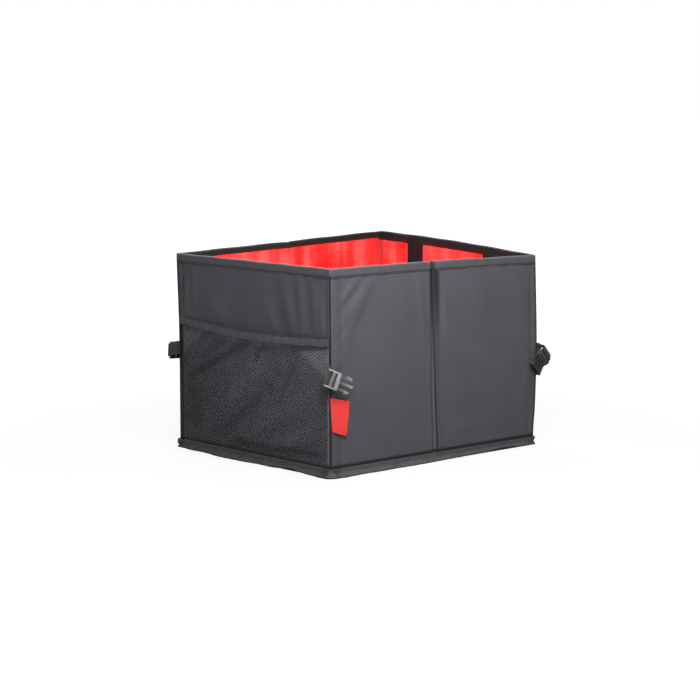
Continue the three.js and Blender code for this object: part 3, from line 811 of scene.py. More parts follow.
def lining_in(wall, along, z):
    """The lining's inner side, as a distance inwards from the walls' outer face."""
    depth = lining_inner + wall.lean(along, z)
    reach = np.abs(along)
    seed = 30.0 + list(walls).index(wall.name)
    under_tape = smooth_step(z, tape_foot - 22 * mm, tape_foot - 2 * mm)
    behind_handle = smooth_step(z, 0.15, 0.19) * (0.0 if wall.folded else 1.0)
    free = smooth_step(wall.half - reach, 0.012, 0.03) * (1 - under_tape)
    upright = slow_waves(along, z, 24 * mm, seed, 7.0)
    broad = slow_waves(along, z, 75 * mm, seed + 5, 3.0)
    depth = depth + free * (1 - 0.85 * behind_handle) * lining_slack * (upright + broad * 0.7 + 0.35)
    if wall.folded:
        pillow = (1 - np.exp(-((reach / (5 * mm)) ** 2))) * np.exp(-reach / (45 * mm))
        depth += free * 2.6 * mm * pillow
        depth -= free * 1.0 * mm * np.exp(-(((along + 17 * mm) / (3.5 * mm)) ** 2))
        depth -= free * 0.9 * mm * np.exp(-(((along + 31 * mm) / (5 * mm)) ** 2))
    return np.maximum(depth, lining_inner + wall.lean(along, z) - 0.5 * mm)


for name, wall in walls.items():
    end = wall.half - lining_inner + 0.2 * mm
    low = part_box(f"{name}_wall_lining")[0].z
    size = (2 * end, wall_top - low)
    steps = (round(size[0] / (2.4 * mm)), round(size[1] / (6 * mm)))

    def place(u, v, wall=wall, end=end, low=low):
        along, z = end - u, v + low
        return wall.place(along, -lining_in(wall, along, z), z)

    piece = flat_cut(f"{name}_lining", size, steps, place, thick=lining_thick)
    finish_here = red_lining_seam_painted_shade if wall.folded else red_lining
    dress(piece, finish_here, replaces=[f"{name}_wall_lining"])

# %% [markdown]
# The floor of the box is lined too, over two boards that fold up along the middle. The lining dips
# into the gap between them. Underneath, the base cloth reaches out to the foot seam all round.

# %% Floor lining and base cloth
floor_low, floor_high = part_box("base_lining")
base_low, base_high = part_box("base_cloth")
base_cut = 15 * mm


def floor_place(u, v):
    x, y = u + floor_low.x, v + floor_low.y
    dip = 1.0 * mm * np.exp(-((x / (4 * mm)) ** 2))
    wave = 0.35 * mm * slow_waves(x, y, 60 * mm, 50.0)
    rise = np.clip(floor_high.z - dip + wave, floor_high.z - 1.2 * mm, floor_high.z + 0.3 * mm)
    return np.stack([x, y, rise], axis=-1)


size = (floor_high.x - floor_low.x, floor_high.y - floor_low.y)
floor_lining = flat_cut("floor_lining", size, (100, 60), floor_place, thick=lining_thick)
dress(floor_lining, red_lining, replaces=["base_lining"])


def base_place(u, v):
    x, y = u + base_low.x, v + base_low.y
    over = np.clip(np.abs(x) + np.abs(y) - (base_high.x + base_high.y - base_cut), 0, None) / 2
    x, y = x - np.sign(x) * over, y - np.sign(y) * over
    groove = 0.7 * mm * np.exp(-((x / (3 * mm)) ** 2))
    return np.stack([x, y, base_low.z + groove + 0 * y], axis=-1)


size = (base_high.x - base_low.x, base_high.y - base_low.y)
base_piece = flat_cut("base_outer_cloth", size, (130, 70), base_place, thick=cloth_thick, side=1)
dress(base_piece, charcoal, replaces=["base_cloth"])

# %% [markdown]
# Tape runs round the box along a rectangle with slightly rounded corners. `round_box` turns a place
# along that line, and a step out from the walls, into a point. The corner's radius shrinks with the
# step, so that the inner side of the tape keeps a crisp corner and never crosses itself.

# %% A line round the box
corner_radius = 3.2 * mm
side_names = ["front", "plain_end", "back", "net_end"]


def round_box(turn, out, z, radius=corner_radius, leans=True):
    """turn goes from 0 to 4, a whole number at the start of each wall, with the corners between."""
    turn = np.mod(turn, 4)
    side = np.minimum(turn.astype(int), 3)
    share = turn - side
    straight = 0.94
    points = np.zeros((len(turn), 3))
    alongs = np.zeros(len(turn))
    bend = np.maximum(radius + out, 0.4 * mm)
    for number, name in enumerate(side_names):
        wall = walls[name]
        here = side == number
        reach = wall.half + out - bend
        f = np.clip(share / straight, 0, 1)
        along = -reach + 2 * reach * f
        angle = np.clip((share - straight) / (1 - straight), 0, 1) * math.pi / 2
        centre = wall.place(reach, out - bend, z)
        outwards = np.cos(angle)[:, None] * wall.out + np.sin(angle)[:, None] * wall.along
        arc = centre + bend[:, None] * outwards
        inward = wall.lean(along, z) if leans else 0.0 * along
        line = wall.place(along, out - inward, z)
        chosen = np.where((share <= straight)[:, None], line, arc)
        points[here] = chosen[here]
        alongs[here] = np.where(share <= straight, along, wall.half)[here]
    return points, alongs, side


# %% [markdown]
# The rim tape is folded over all the layers and sewn through near its lower edges. Sewing pulls it
# in a little at each stitch, and it buckles at the fold of each long wall. Its cross-section is an
# upside-down U with soft shoulders.

# %% Rim tape
rim_out = 1.2 * mm
rim_in = lining_inner + 0.2 * mm + 0.6 * mm
perimeter = 4 * (face_x + face_y)
tape_leg = rim_top - tape_foot
rim_wide = rim_out + rim_in
shoulder = 2.2 * mm
rim_across = 2 * (tape_leg - shoulder) + math.pi * shoulder + (rim_wide - 2 * shoulder)


def rim_section(v):
    """The step out and the height of a place across the rim tape, from its outer edge upwards."""
    leg = tape_leg - shoulder
    arc = math.pi * shoulder / 2
    flat = rim_wide - 2 * shoulder
    out, z = np.zeros_like(v), np.zeros_like(v)
    a = v <= leg
    out[a], z[a] = rim_out - 0.75 * mm * (1 - smooth_step(v[a], 0, seam_in)), tape_foot + v[a]
    b = (v > leg) & (v <= leg + arc)
    t = (v[b] - leg) / shoulder
    out[b], z[b] = rim_out - shoulder * (1 - np.cos(t)), rim_top - shoulder * (1 - np.sin(t))
    c = (v > leg + arc) & (v <= leg + arc + flat)
    out[c], z[c] = rim_out - shoulder - (v[c] - leg - arc), rim_top
    d = (v > leg + arc + flat) & (v <= leg + 2 * arc + flat)
    t = (v[d] - leg - arc - flat) / shoulder
    out[d], z[d] = -rim_in + shoulder * (1 - np.sin(t)), rim_top - shoulder * (1 - np.cos(t))
    e = v > leg + 2 * arc + flat
    out[e], z[e] = -rim_in, rim_top - shoulder - (v[e] - leg - 2 * arc - flat)
    return out, z


inner_leg_share = {"front": 0.9, "plain_end": 0.90, "back": 0.60, "net_end": 0.9}


def ripple(along, *waves):
    """A sum of waves along a seam, each with its height, its length and its start."""
    return sum(high * np.sin(along * 2 * math.pi / length + start) for high, length, start in waves)


def rim_place(u, v):
    out, z = rim_section(v)
    turn = 4 * u / perimeter
    _, alongs, side = round_box(turn, out, z)
    inner_leg = v > rim_across - (tape_leg - shoulder)
    for number, name in enumerate(side_names):
        near_corner = 1 - smooth_step(walls[name].half - np.abs(alongs), 2 * mm, 16 * mm)
        share = inner_leg_share[name] + (0.9 - inner_leg_share[name]) * near_corner
        shorter = inner_leg & (side == number)
        z = np.where(shorter, rim_top - shoulder - (rim_top - shoulder - z) * share, z)
    folded = (side % 2 == 0)
    outer = smooth_step(out, -2 * mm, 1 * mm)
    pucker = ripple(u, (0.16 * mm, 29 * mm, 1), (0.10 * mm, 13 * mm, 0))
    fold = np.where(folded, np.exp(-(((alongs - 1 * mm) / (4.0 * mm)) ** 2)), 0)
    roll = np.where(folded, np.exp(-(((alongs + 9 * mm) / (4.0 * mm)) ** 2)), 0)
    sewn = np.exp(-(((v - seam_in) / (0.9 * mm)) ** 2))
    fold = fold * np.where(side == 2, 0.35, 1.0)
    out = out + outer * (pucker * (1 - 0.8 * fold) - 3.0 * mm * fold + 0.6 * mm * roll - 0.35 * mm * sewn)
    upper = smooth_step(z, tape_foot + 6 * mm, rim_top)
    z = z - upper * (1.0 * mm * fold + ripple(u, (0.25 * mm, 83 * mm, 0)))
    lower = 1 - smooth_step(z, tape_foot, tape_foot + 3 * mm)
    z = z - lower * ripple(u, (0.3 * mm, 37 * mm, 0))
    return round_box(turn, out, z)[0]


rim_tape = flat_cut("rim_tape", (perimeter, rim_across), (860, 38), rim_place, seam=True,
                    thick=0.5 * mm, side=-1)


def paint_inner_leg(piece, first_black):
    """Gives the faces whose place across the tape is past first_black the second material."""
    uv = piece.data.uv_layers[0].data
    for face in piece.data.polygons:
        across = sum(uv[i].uv[1] for i in face.loop_indices) / face.loop_total
        face.material_index = 1 if across > first_black else 0


dress(rim_tape, [grey_tape, black_tape], replaces=["rim_binding"])
paint_inner_leg(rim_tape, tape_leg + 2.0 * mm)

# %% [markdown]
# The foot seam is where walls and base meet. Its tape is rolled round the raw edges and spreads on
# the floor, with a wavy lip that lifts here and there and closes round each corner as a soft knob.
# It is a closed section carried round the box, so the flat cut is joined along both its seams.

# %% Foot tape
foot_flare = 8.6 * mm
# The lip lifts: on which wall, at what place along it, how wide and how high (mm).
foot_lifts = [
    ("net_end", 95, 24, 3.4), ("net_end", 20, 40, 0.6), ("net_end", -110, 24, 0.8),
    ("front", 30, 26, 0.8), ("front", 140, 42, 3.0), ("front", 74, 22, 0.8),
    ("back", -90, 34, 2.0), ("back", 60, 30, 2.4), ("plain_end", -70, 32, 2.2), ("plain_end", 84, 30, 2.0),
]
# The lip spreads: a place by x and y (mm, or only the side's sign), the axis of the wall, how wide
# and how far out.
foot_spreads = [
    (-1, 40, 1, 60, 4.2), (-1, -165, 1, 16, 1.6), (-1, 170, 1, 20, -3.6),
    (-190, -1, 0, 22, 1.4), (206, -1, 0, 22, -3.4), (-20, 1, 0, 50, 2.0), (1, 60, 1, 50, 2.2),
]
# The section goes round the tape from the wall outwards and back: steps out and heights (mm).
foot_section = [
    (0.9, 10.2), (1.5, 12.0), (2.4, 12.5), (3.1, 11.5), (3.4, 9.4), (4.2, 6.9), (5.8, 4.8), (7.7, 3.3),
    (8.6, 2.2), (8.7, 0.9), (7.9, 0.05), (6.4, 0.0), (5.2, 0.5), (4.2, 2.2), (2.4, 4.8), (1.0, 7.6),
]
foot_knob = {-1: 6.0 * mm, 1: 3.8 * mm}


def foot_shape(v, total):
    ring = np.array(foot_section + foot_section[:1]) * mm
    places = np.linspace(0, total, len(ring))
    return np.interp(v, places, ring[:, 0]), np.interp(v, places, ring[:, 1])


foot_round = 46 * mm


def foot_place(u, v):
    out, z = foot_shape(v, foot_round)
    turn = 4 * u / perimeter
    line, alongs, side = round_box(turn, out, z, leans=False)
    lip = smooth_step(out, 2.0 * mm, foot_flare)
    spread = np.zeros_like(u)
    for x, y, axis, width, more in foot_spreads:
        here = line[:, 1 - axis] * (x, y)[1 - axis] > 0
        away = (line[:, axis] / mm - (x, y)[axis]) / width
        spread += np.where(here, more * mm * np.exp(-(away ** 2)), 0)
    lift = np.zeros_like(u)
    for name, middle, width, high in foot_lifts:
        here = side == side_names.index(name)
        lift += np.where(here, high * mm * np.exp(-(((alongs - middle * mm) / (width * mm)) ** 2)), 0)
    halves = np.where(side % 2 == 0, face_x, face_y)
    corner = smooth_step(np.abs(alongs), halves - 26 * mm, halves - 2 * mm)
    waves = ripple(u, (0.6 * mm, 62 * mm, 0), (0.35 * mm, 17 * mm, 2))
    crumple = np.array([noise.noise(Vector((a / 0.011, b / 0.006, 7.0))) for a, b in zip(u, v)])
    knob = smooth_step(np.abs(alongs), halves - 15 * mm, halves - 3 * mm) * (line[:, 0] * line[:, 1] < 0)
    ring = v / foot_round * len(foot_section)
    full = smooth_step(ring, 0.8, 2.6) * (1 - smooth_step(ring, 7.5, 9))
    knob_out = np.where(line[:, 0] < 0, foot_knob[-1], foot_knob[1])
    out = out + knob * full * (knob_out + 1.1 * mm * crumple - out)
    out = out + lip * (waves * (1 - 0.6 * corner) - 0.25 * lift + spread) + 0.5 * mm * crumple * lip
    out = out + corner * 0.8 * mm * np.sin(math.pi * np.clip(z / foot_top, 0, 1))
    z = np.maximum(z + lip * lift * (1 - 0.35 * z / foot_top), 0)
    z = z + 0.3 * mm * crumple * smooth_step(z, 2 * mm, 5 * mm) * (1 - smooth_step(z, 13 * mm, 15 * mm))
    return round_box(turn, out, z, radius=4.5 * mm, leans=False)[0]


foot_piece = flat_cut("foot_tape", (perimeter, foot_round), (760, 40), foot_place, seam=True)
dress(foot_piece, foot_tape, replaces=["foot_binding"])

# %% [markdown]
# The net pocket hangs on the end wall. It is sewn down its sides and foot, and its top edge is
# bound with tape and hangs slack. Slack netting settles in slanting drapes. `net_out` gives that
# shape, and both the netting and its tape follow it.

# %% Pocket: shape
net_wall = walls["net_end"]
net_low, net_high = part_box("pocket_net")
tape_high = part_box("pocket_binding")[1]
net_half = net_high.y - 0.3 * mm
net_foot = net_low.z - 0.8 * mm
pocket_tape_wide = 12 * mm
pocket_sag = 6 * mm
pocket_tilt = 1.0 * mm
net_corner_top = tape_high.z - pocket_tape_wide
pocket_bulge = 10 * mm
# A drape is written like a crease: start, end, width and height, in mm.
drapes = [
    ((-150, 20), (50, 176), 20, 5.2), ((-120, 10), (110, 165), 16, -4.0), ((-60, 16), (150, 130), 15, 3.8),
    ((-164, 60), (-30, 180), 16, 3.4), ((-168, 110), (-70, 182), 12, -2.6), ((10, 14), (165, 80), 12, 3.6),
    ((70, 12), (168, 50), 10, -2.6), ((-170, 18), (-110, 66), 12, -2.4), ((40, 178), (-60, 90), 11, 1.8),
    ((-160, 14), (-60, 22), 7, 2.4), ((20, 14), (120, 24), 8, 2.6),
]


def net_top(along):
    sag = pocket_sag * np.cos(math.pi * (along - 12 * mm) / (2 * net_half))
    return net_corner_top - sag - pocket_tilt * along / net_half


def net_out(along, z):
    across = np.cos(math.pi * np.clip(along / (2 * net_half), -0.5, 0.5))
    rise = np.clip((z - net_foot) / (net_top(along) - net_foot), 0, 1)
    out = 0.9 * mm + pocket_bulge * across * np.sin(math.pi * rise / 2)
    held = across ** 0.5 * smooth_step(rise, 0.0, 0.14) * (1 - 0.85 * smooth_step(rise, 0.86, 1.0))
    for start, stop, width, high in drapes:
        start = (start[0] * mm, start[1] * mm)
        stop = (stop[0] * mm, stop[1] * mm)
        out += held * crease(along, z, start, stop, width * mm, high * mm)
    return np.maximum(out, 0.9 * mm)


# %% [markdown]
# The netting is made of two sets of threads that cross on the slant. Each thread is a curve with a
# flat section, laid over the drape from edge to edge, and all of them together are one curve object
# that is then made a mesh. Threads of one set lie a little further out than the other.

# %% Pocket: netting
mesh_pitch = 7.5 * mm
thread_wide = 1.05 * mm
thread_deep = 0.5 * mm
thread_step = 3.0 * mm


def thread_runs(slope):
    """Slanting lines across the pocket, as lists of places (along, z) inside its edges."""
    reach = net_half + (tape_high.z - net_foot)
    step_up = thread_step * math.sin(math.atan(abs(slope)))
    for start in np.arange(-reach, reach, mesh_pitch):
        heights = np.arange(0, tape_high.z - net_foot, step_up)
        alongs = start + heights / slope
        z = net_foot + heights
        inside = (np.abs(alongs) <= net_half) & (z <= net_top(alongs) + 3 * mm)
        if inside.sum() >= 2:
            yield alongs[inside], z[inside]


def netting_curve(slope, lift):
    curve = bpy.data.curves.new("netting", "CURVE")
    curve.dimensions = "3D"
    curve.bevel_depth = thread_wide / 2
    curve.bevel_resolution = 1
    curve.use_fill_caps = True
    for alongs, z in thread_runs(slope):
        points = settle(net_wall.place(alongs, net_out(alongs, z) + lift, z))
        spline = curve.splines.new("POLY")
        spline.points.add(len(points) - 1)
        spline.points.foreach_set("co", np.hstack([points, np.ones((len(points), 1))]).ravel())
    return bpy.data.objects.new("netting", curve)


bpy.ops.object.select_all(action="DESELECT")
net_slope = 0.67
layers = []
for slope, lift in ((net_slope, 0.0), (-net_slope, thread_deep * 0.7)):
    layer = netting_curve(slope, lift)
    bpy.context.collection.objects.link(layer)
    layers.append(layer)
for layer in layers:
    layer.select_set(True)
bpy.context.view_layer.objects.active = layers[0]
bpy.ops.object.convert(target="MESH")
bpy.ops.object.join()
net_piece = bpy.context.object
net_piece.name = net_piece.data.name = "pocket_netting"
dress(net_piece, netting, replaces=["pocket_net"])

# %% [markdown]
# The pocket's top edge is bound with the same ribbed tape as the rim. Its two long edges are turned
# in, so its section is a flat oval.

# %% Pocket: tape
pocket_tape_thick = 1.7 * mm
pocket_round = 2 * (pocket_tape_wide + pocket_tape_thick)


def pocket_tape_place(u, v):
    along = u - net_half - 2 * mm
    angle = 2 * math.pi * v / pocket_round
    flatten = np.sign(np.cos(angle)) * np.abs(np.cos(angle)) ** 0.55
    squash = np.sign(np.sin(angle)) * np.abs(np.sin(angle)) ** 0.7
    middle = net_top(np.clip(along, -net_half, net_half)) + pocket_tape_wide / 2 - 0.4 * mm
    edge = np.clip(np.abs(along) / (net_half + 2 * mm), 0, 1)
    tuck = smooth_step(edge, 0.975, 1.0)
    base = net_out(along, net_top(np.clip(along, -net_half, net_half))) + pocket_tape_thick / 2
    waves = ripple(along, (0.25 * mm, 19 * mm, 0), (0.15 * mm, 7 * mm, 0))
    out = base - tuck * 0.9 * mm + waves * (1 - tuck) + squash * pocket_tape_thick / 2
    z = middle + flatten * pocket_tape_wide / 2 + ripple(along, (0.3 * mm, 41 * mm, 0))
    return net_wall.place(along, out, z)


pocket_tape = flat_cut("pocket_tape", (2 * net_half + 4 * mm, pocket_round), (200, 20), pocket_tape_place,
                       seam=True)
dress(pocket_tape, pocket_tape_finish, replaces=["pocket_binding"])

# %% [markdown]
# Webbing bands follow a line in space with a direction across it. `band` walks along such a line
# and gives the webbing a section with rounded edges. Handles and corner straps are both made so.

# %% Webbing bands
def unit(vectors):
    return vectors / np.linalg.norm(vectors, axis=-1, keepdims=True)


def along_line(u, lengths, rows):
    """The rows' values at the lengths u, each row belonging to one of the lengths."""
    return np.stack([np.interp(u, lengths, rows[:, k]) for k in range(3)], axis=-1)


def band(name, line, across, wide, thick, steps, settled=True):
    """A woven band along the points of line, with its width along the directions in across."""
    line, across = np.array(line), np.array(across)
    lengths = np.concatenate([[0], np.cumsum(np.linalg.norm(np.diff(line, axis=0), axis=1))])
    total = lengths[-1]
    round_length = 2 * (wide + thick)

    def place(u, v):
        middle = along_line(u, lengths, line)
        ahead = unit(along_line(u, lengths, np.gradient(line, lengths, axis=0)))
        side = unit(along_line(u, lengths, across))
        face = unit(np.cross(ahead, side))
        angle = 2 * math.pi * v / round_length
        w = np.sign(np.cos(angle)) * np.abs(np.cos(angle)) ** 0.35
        t = np.sign(np.sin(angle)) * np.abs(np.sin(angle)) ** 0.6
        return middle + side * (w * wide / 2)[:, None] + face * (t * thick / 2)[:, None]

    piece = flat_cut(name, (total, round_length), steps, place, settled=settled)
    bpy.ops.object.mode_set(mode="EDIT")
    bpy.ops.mesh.select_all(action="SELECT")
    bpy.ops.mesh.remove_doubles(threshold=0.01 * mm)
    bpy.ops.mesh.select_all(action="DESELECT")
    bpy.ops.mesh.select_non_manifold()
    bpy.ops.mesh.fill_holes(sides=0)
    bpy.ops.mesh.select_all(action="SELECT")
    bpy.ops.mesh.normals_make_consistent(inside=False)
    bpy.ops.object.mode_set(mode="OBJECT")
    return piece


# %% [markdown]
# Each end wall has a carrying handle inside: webbing comes down from under the rim tape, turns in a
# quarter circle, runs level and goes up again. It bows a little away from the lining.

# %% Handles
handle_spacing = 170 * mm
handle_wide = 35 * mm
handle_thick = 1.5 * mm
handle_bend = 46 * mm
handle_bow = 3 * mm


def handle_line(name):
    wall = walls[name.replace("_handle", "")]
    low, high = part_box(name)
    depth = lining_inner + 0.3 * mm + 0.8 * mm
    top, foot = high.z, low.z + handle_wide / 2
    leg = handle_spacing / 2
    straight = [(-leg, z, 0.0) for z in np.linspace(top + 4 * mm, foot + handle_bend, 14)]
    corner = [(-leg + handle_bend * (1 - math.cos(t)), foot + handle_bend * (1 - math.sin(t)), t)
              for t in np.linspace(0, math.pi / 2, 18)[1:]]
    half = straight + corner
    other = [(-along, z, math.pi - turn) for along, z, turn in reversed(half)]
    level_half = leg - handle_bend
    level = [(along, foot, math.pi / 2) for along in np.linspace(-level_half, level_half, 12)[1:-1]]
    points, sides = [], []
    for along, z, turn in half + level + other:
        drop = np.clip((top - z) / (top - foot), 0, 1)
        points.append(wall.place(along, -depth - handle_bow * drop * drop, z))
        sides.append(math.cos(turn) * wall.along + math.sin(turn) * np.array((0, 0, 1.0)))
    return points, sides


for name in ("net_end_handle", "plain_end_handle"):
    points, sides = handle_line(name)
    new_name = name.replace("handle", "webbing_handle")
    piece = band(new_name, points, sides, handle_wide, handle_thick, (150, 28))
    dress(piece, handle_webbing_finish_painted_shade, replaces=[name])

# %% [markdown]
# Each corner strap comes out of the seam, runs to its buckle's bar, goes round it and comes back
# into the seam. The bar's middle is taken from the record's joint, because the buckle turns about
# that bar; the way the buckle points comes from each strap's droop and stand-off.

# %% Corner straps
strap_wide = 20 * mm
strap_thick = 1.15 * mm
bar_radius = 1.6 * mm
bar_clearance = 0.35 * mm
strap_height = {"male": 154 * mm, "female": 147 * mm}
layer_gap = 0.3 * mm
male_hang = dict(stand_off=8, leave=9, arrive=7, twisted=1.0, doubles_back=False)
loose_male_hang = dict(stand_off=8, leave=13, arrive=10, twisted=1.0, doubles_back=True)
female_hang = dict(stand_off=0, leave=12, arrive=13, twisted=0.6, doubles_back=True)
corner_hangs = {
    "male_front": dict(sx=-1, sy=-1, droop=24, **male_hang),
    "male_back": dict(sx=-1, sy=1, droop=4, **loose_male_hang),
    "female_front": dict(sx=1, sy=-1, droop=41, **female_hang),
    "female_back": dict(sx=1, sy=1, droop=32, **female_hang),
}
joints = {joint["child"]: joint for joint in frame["joints"]}


def buckle_axes(name):
    """The middle of the buckle's bar, the way the buckle points, and the bar's own direction."""
    hang = corner_hangs[name]
    down, off = math.radians(hang["droop"]), math.radians(hang["stand_off"])
    middle = np.array(joints[name]["pos_m"])
    along_wall = np.array((-hang["sx"] * math.cos(down), 0, -math.sin(down)))
    point = along_wall * math.cos(off) + np.array((0, hang["sy"] * math.sin(off), 0))
    bar = np.array((-hang["sx"] * math.sin(down), 0, math.cos(down)))
    return middle, point, bar


def strap_line(name):
    hang = corner_hangs[name]
    middle, point, bar = buckle_axes(name)
    seam = np.array((hang["sx"] * (face_x + 2 * layer_gap), hang["sy"] * (face_y - layer_gap),
                     strap_height[name.split("_")[0]]))
    slant = np.array((hang["sx"], 2.0 * hang["sy"], 0))
    arrival = point if hang["doubles_back"] else unit(slant - bar * np.dot(slant, bar))
    first = seam + np.array((hang["sx"] * hang["leave"] * mm, 0, 0))
    second = middle - arrival * hang["arrive"] * mm
    loop = bar_radius + bar_clearance + strap_thick / 2
    sewn = strap_thick / 2 + layer_gap
    rows = []
    for t in np.linspace(0, 1, 40):
        place = (1 - t) ** 3 * seam + 3 * (1 - t) ** 2 * t * first
        place = place + 3 * (1 - t) * t * t * second + t ** 3 * middle
        ahead = unit(3 * (1 - t) ** 2 * (first - seam) + 6 * (1 - t) * t * (second - first)
                     + 3 * t * t * (middle - second))
        ease = float(smooth_step(np.array(t), 0.1, hang["twisted"]))
        side = unit((1 - ease) * np.array((0, 0, 1.0)) + ease * bar)
        off = unit(np.cross(ahead, side))
        apart = sewn + (loop - sewn) * float(smooth_step(np.array(t), 0.45, 1))
        rows.append((place, ahead, side, off, apart))
    points = [p + off * apart for p, _, _, off, apart in rows[:-1]]
    sides = [side for _, _, side, _, _ in rows[:-1]]
    p, ahead, side, off, _ = rows[-1]
    for turn in np.linspace(math.pi / 2, -math.pi / 2, 18):
        points.append(p + ahead * loop * math.cos(turn) + off * loop * math.sin(turn))
        sides.append(side)
    points += [p - off * apart for p, _, _, off, apart in reversed(rows[:-1])]
    sides += [side for _, _, side, _, _ in reversed(rows[:-1])]
    return points, sides


for name in corner_hangs:
    points, sides = strap_line(name)
    piece = band(f"{name}_corner_strap", points, sides, strap_wide, strap_thick, (120, 24), settled=False)
    dress(piece, webbing, replaces=[f"strap_{name}"])

# %% [markdown]
# The buckles' shapes in the frame are right, but a moulded part has no sharp edges. A copy of each
# is merged into one skin, its flat faces are joined, and a Bevel modifier rounds the edges.

# %% Buckles
def solid_copy(node, name):
    bpy.ops.object.select_all(action="DESELECT")
    piece = frame["nodes"][node].copy()
    piece.data = piece.data.copy()
    piece.parent = None
    for key in list(piece.keys()):
        del piece[key]
    piece.name = piece.data.name = name
    bpy.context.collection.objects.link(piece)
    piece.hide_render = False
    piece.select_set(True)
    bpy.context.view_layer.objects.active = piece
    bpy.ops.object.mode_set(mode="EDIT")
    bpy.ops.mesh.select_all(action="SELECT")
    bpy.ops.mesh.remove_doubles(threshold=0.002 * mm)
    bpy.ops.mesh.dissolve_limited(angle_limit=math.radians(1.5))
    bpy.ops.object.mode_set(mode="OBJECT")
    return piece


def round_edges(piece, width, segments=2):
    bpy.context.view_layer.objects.active = piece
    bevel = piece.modifiers.new("round_edges", "BEVEL")
    bevel.width = width
    bevel.segments = segments
    bevel.limit_method = "ANGLE"
    bevel.angle_limit = math.radians(28)
    bevel.harden_normals = False
    bpy.ops.object.modifier_apply(modifier=bevel.name)
    bpy.ops.object.shade_smooth_by_angle(angle=math.radians(40))


for name in corner_hangs:
    piece = solid_copy(f"buckle_{name}", f"{name}_buckle")
    round_edges(piece, 0.45 * mm)
    finish_here = nylon_near_buckle_painted_highlight if name == "male_front" else nylon
    dress(piece, finish_here, body=name, replaces=[f"buckle_{name}"])

# %% [markdown]
# The male half has a row of teeth on its grip bar, which keep the webbing from slipping. Each tooth
# is a small block. The row is joined to one piece, and its edges are rounded.

# %% Grip teeth of the male halves
tooth_pitch = 2.3 * mm
tooth_count = 9
grip_middle = 7.6 * mm
tooth_size = (4.2 * mm, 1.2 * mm, 5.4 * mm)


def grip_teeth(name):
    """Teeth along the male half's grip bar, made flat at the origin and then carried to the buckle."""
    teeth = []
    for number in range(tooth_count):
        across = (number - (tooth_count - 1) / 2) * tooth_pitch
        bpy.ops.object.select_all(action="DESELECT")
        bpy.ops.mesh.primitive_cube_add(size=1, location=(grip_middle, across, 0))
        tooth = bpy.context.object
        tooth.scale = tooth_size
        bpy.ops.object.transform_apply(location=True, rotation=True, scale=True)
        teeth.append(tooth)
    for tooth in teeth:
        tooth.select_set(True)
    bpy.context.view_layer.objects.active = teeth[0]
    bpy.ops.object.join()
    piece = bpy.context.object
    piece.name = piece.data.name = f"{name}_grip_teeth"
    round_edges(piece, 0.35 * mm)
    middle, point, bar = buckle_axes(name)
    normal = np.cross(point, bar)
    turn = Matrix([[point[i], bar[i], normal[i], middle[i]] for i in range(3)] + [[0, 0, 0, 1]])
    piece.data.transform(turn)
    return piece


for name in ("male_front", "male_back"):
    dress(grip_teeth(name), nylon_grip_teeth_painted_highlight, body=name)

# %% [markdown]
# The red tag is sewn into the near corner's seam. It curls a little at its free end and it bows
# between its corners. Both sides are bare.

# %% Tag
tag_wide, tag_tall = 32 * mm, 51 * mm
tag_top_drop, tag_seam_tall = 6.4 * mm, 49 * mm
tag_seam_taper, tag_free_taper = 3.2 * mm, 4.2 * mm
tag_stand_off = math.radians(9)
tag_root = Vector((-face_x - 1.0 * mm, -face_y - 0.5 * mm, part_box("seam_tag")[1].z))


def tag_place(u, v):
    down = 1 - v / tag_tall
    share = u / tag_wide
    x = share * (tag_wide - tag_free_taper * down) + (1 - share) * tag_seam_taper * down
    z = -share * (tag_top_drop + tag_tall * down) - (1 - share) * tag_seam_tall * down
    curl = 1.2 * mm * np.sin(math.pi * down) * share + 1.2 * mm * share ** 3
    bow = 0.8 * mm * np.sin(math.pi * share) * (0.4 + 0.6 * down)
    y = -curl - bow + 1.4 * mm * share * down
    flat = np.stack([x, y, z], axis=-1)
    turn = Matrix.Rotation(-tag_stand_off, 3, "Z")
    return flat @ np.array(turn).T + np.array(tag_root)


tag_piece = flat_cut("red_seam_tag", (tag_wide, tag_tall), (34, 44), tag_place, thick=1.0 * mm, side=-1)
round_edges(tag_piece, 0.25 * mm)
dress(tag_piece, red_tag, replaces=["seam_tag"])

# %% [markdown]
# Sewing shows as rows of short stitches. One stitch is modelled, a slim capsule with few faces, and
# copied along each seam. The copies of one seam are joined to one piece.

# %% Stitches
stitch_long = 2.9 * mm
stitch_gap = 1.1 * mm
stitch_wide = 0.42 * mm


def stitch_shape():
    bpy.ops.object.select_all(action="DESELECT")
    bpy.ops.mesh.primitive_uv_sphere_add(segments=6, ring_count=4, radius=0.5)
    shape = bpy.context.object
    points = np.array([v.co for v in shape.data.vertices])
    faces = [list(face.vertices) for face in shape.data.polygons]
    bpy.data.objects.remove(shape)
    return points * np.array((stitch_wide, stitch_wide, stitch_long)), faces


stitch_points, stitch_faces = stitch_shape()


def stitch_row(points, normals):
    """Vertices and faces of stitches laid along a line of points, a little sunk into the cloth."""
    points, normals = np.array(points), np.array(normals)
    lengths = np.concatenate([[0], np.cumsum(np.linalg.norm(np.diff(points, axis=0), axis=1))])
    vertices, faces = [], []
    for start in np.arange(stitch_gap, lengths[-1] - stitch_long, stitch_long + stitch_gap):
        a = along_line(start, lengths, points)
        b = along_line(start + stitch_long, lengths, points)
        n = unit(along_line(start, lengths, normals))
        ahead = unit(b - a)
        side = unit(np.cross(n, ahead))
        n = np.cross(ahead, side)
        turn = np.stack([side, n, ahead])
        base = len(vertices) * len(stitch_points)
        vertices.append(stitch_points @ turn + (a + b) / 2 + n * stitch_wide * 0.12)
        faces += [[base + i for i in face] for face in stitch_faces]
    return np.concatenate(vertices), faces


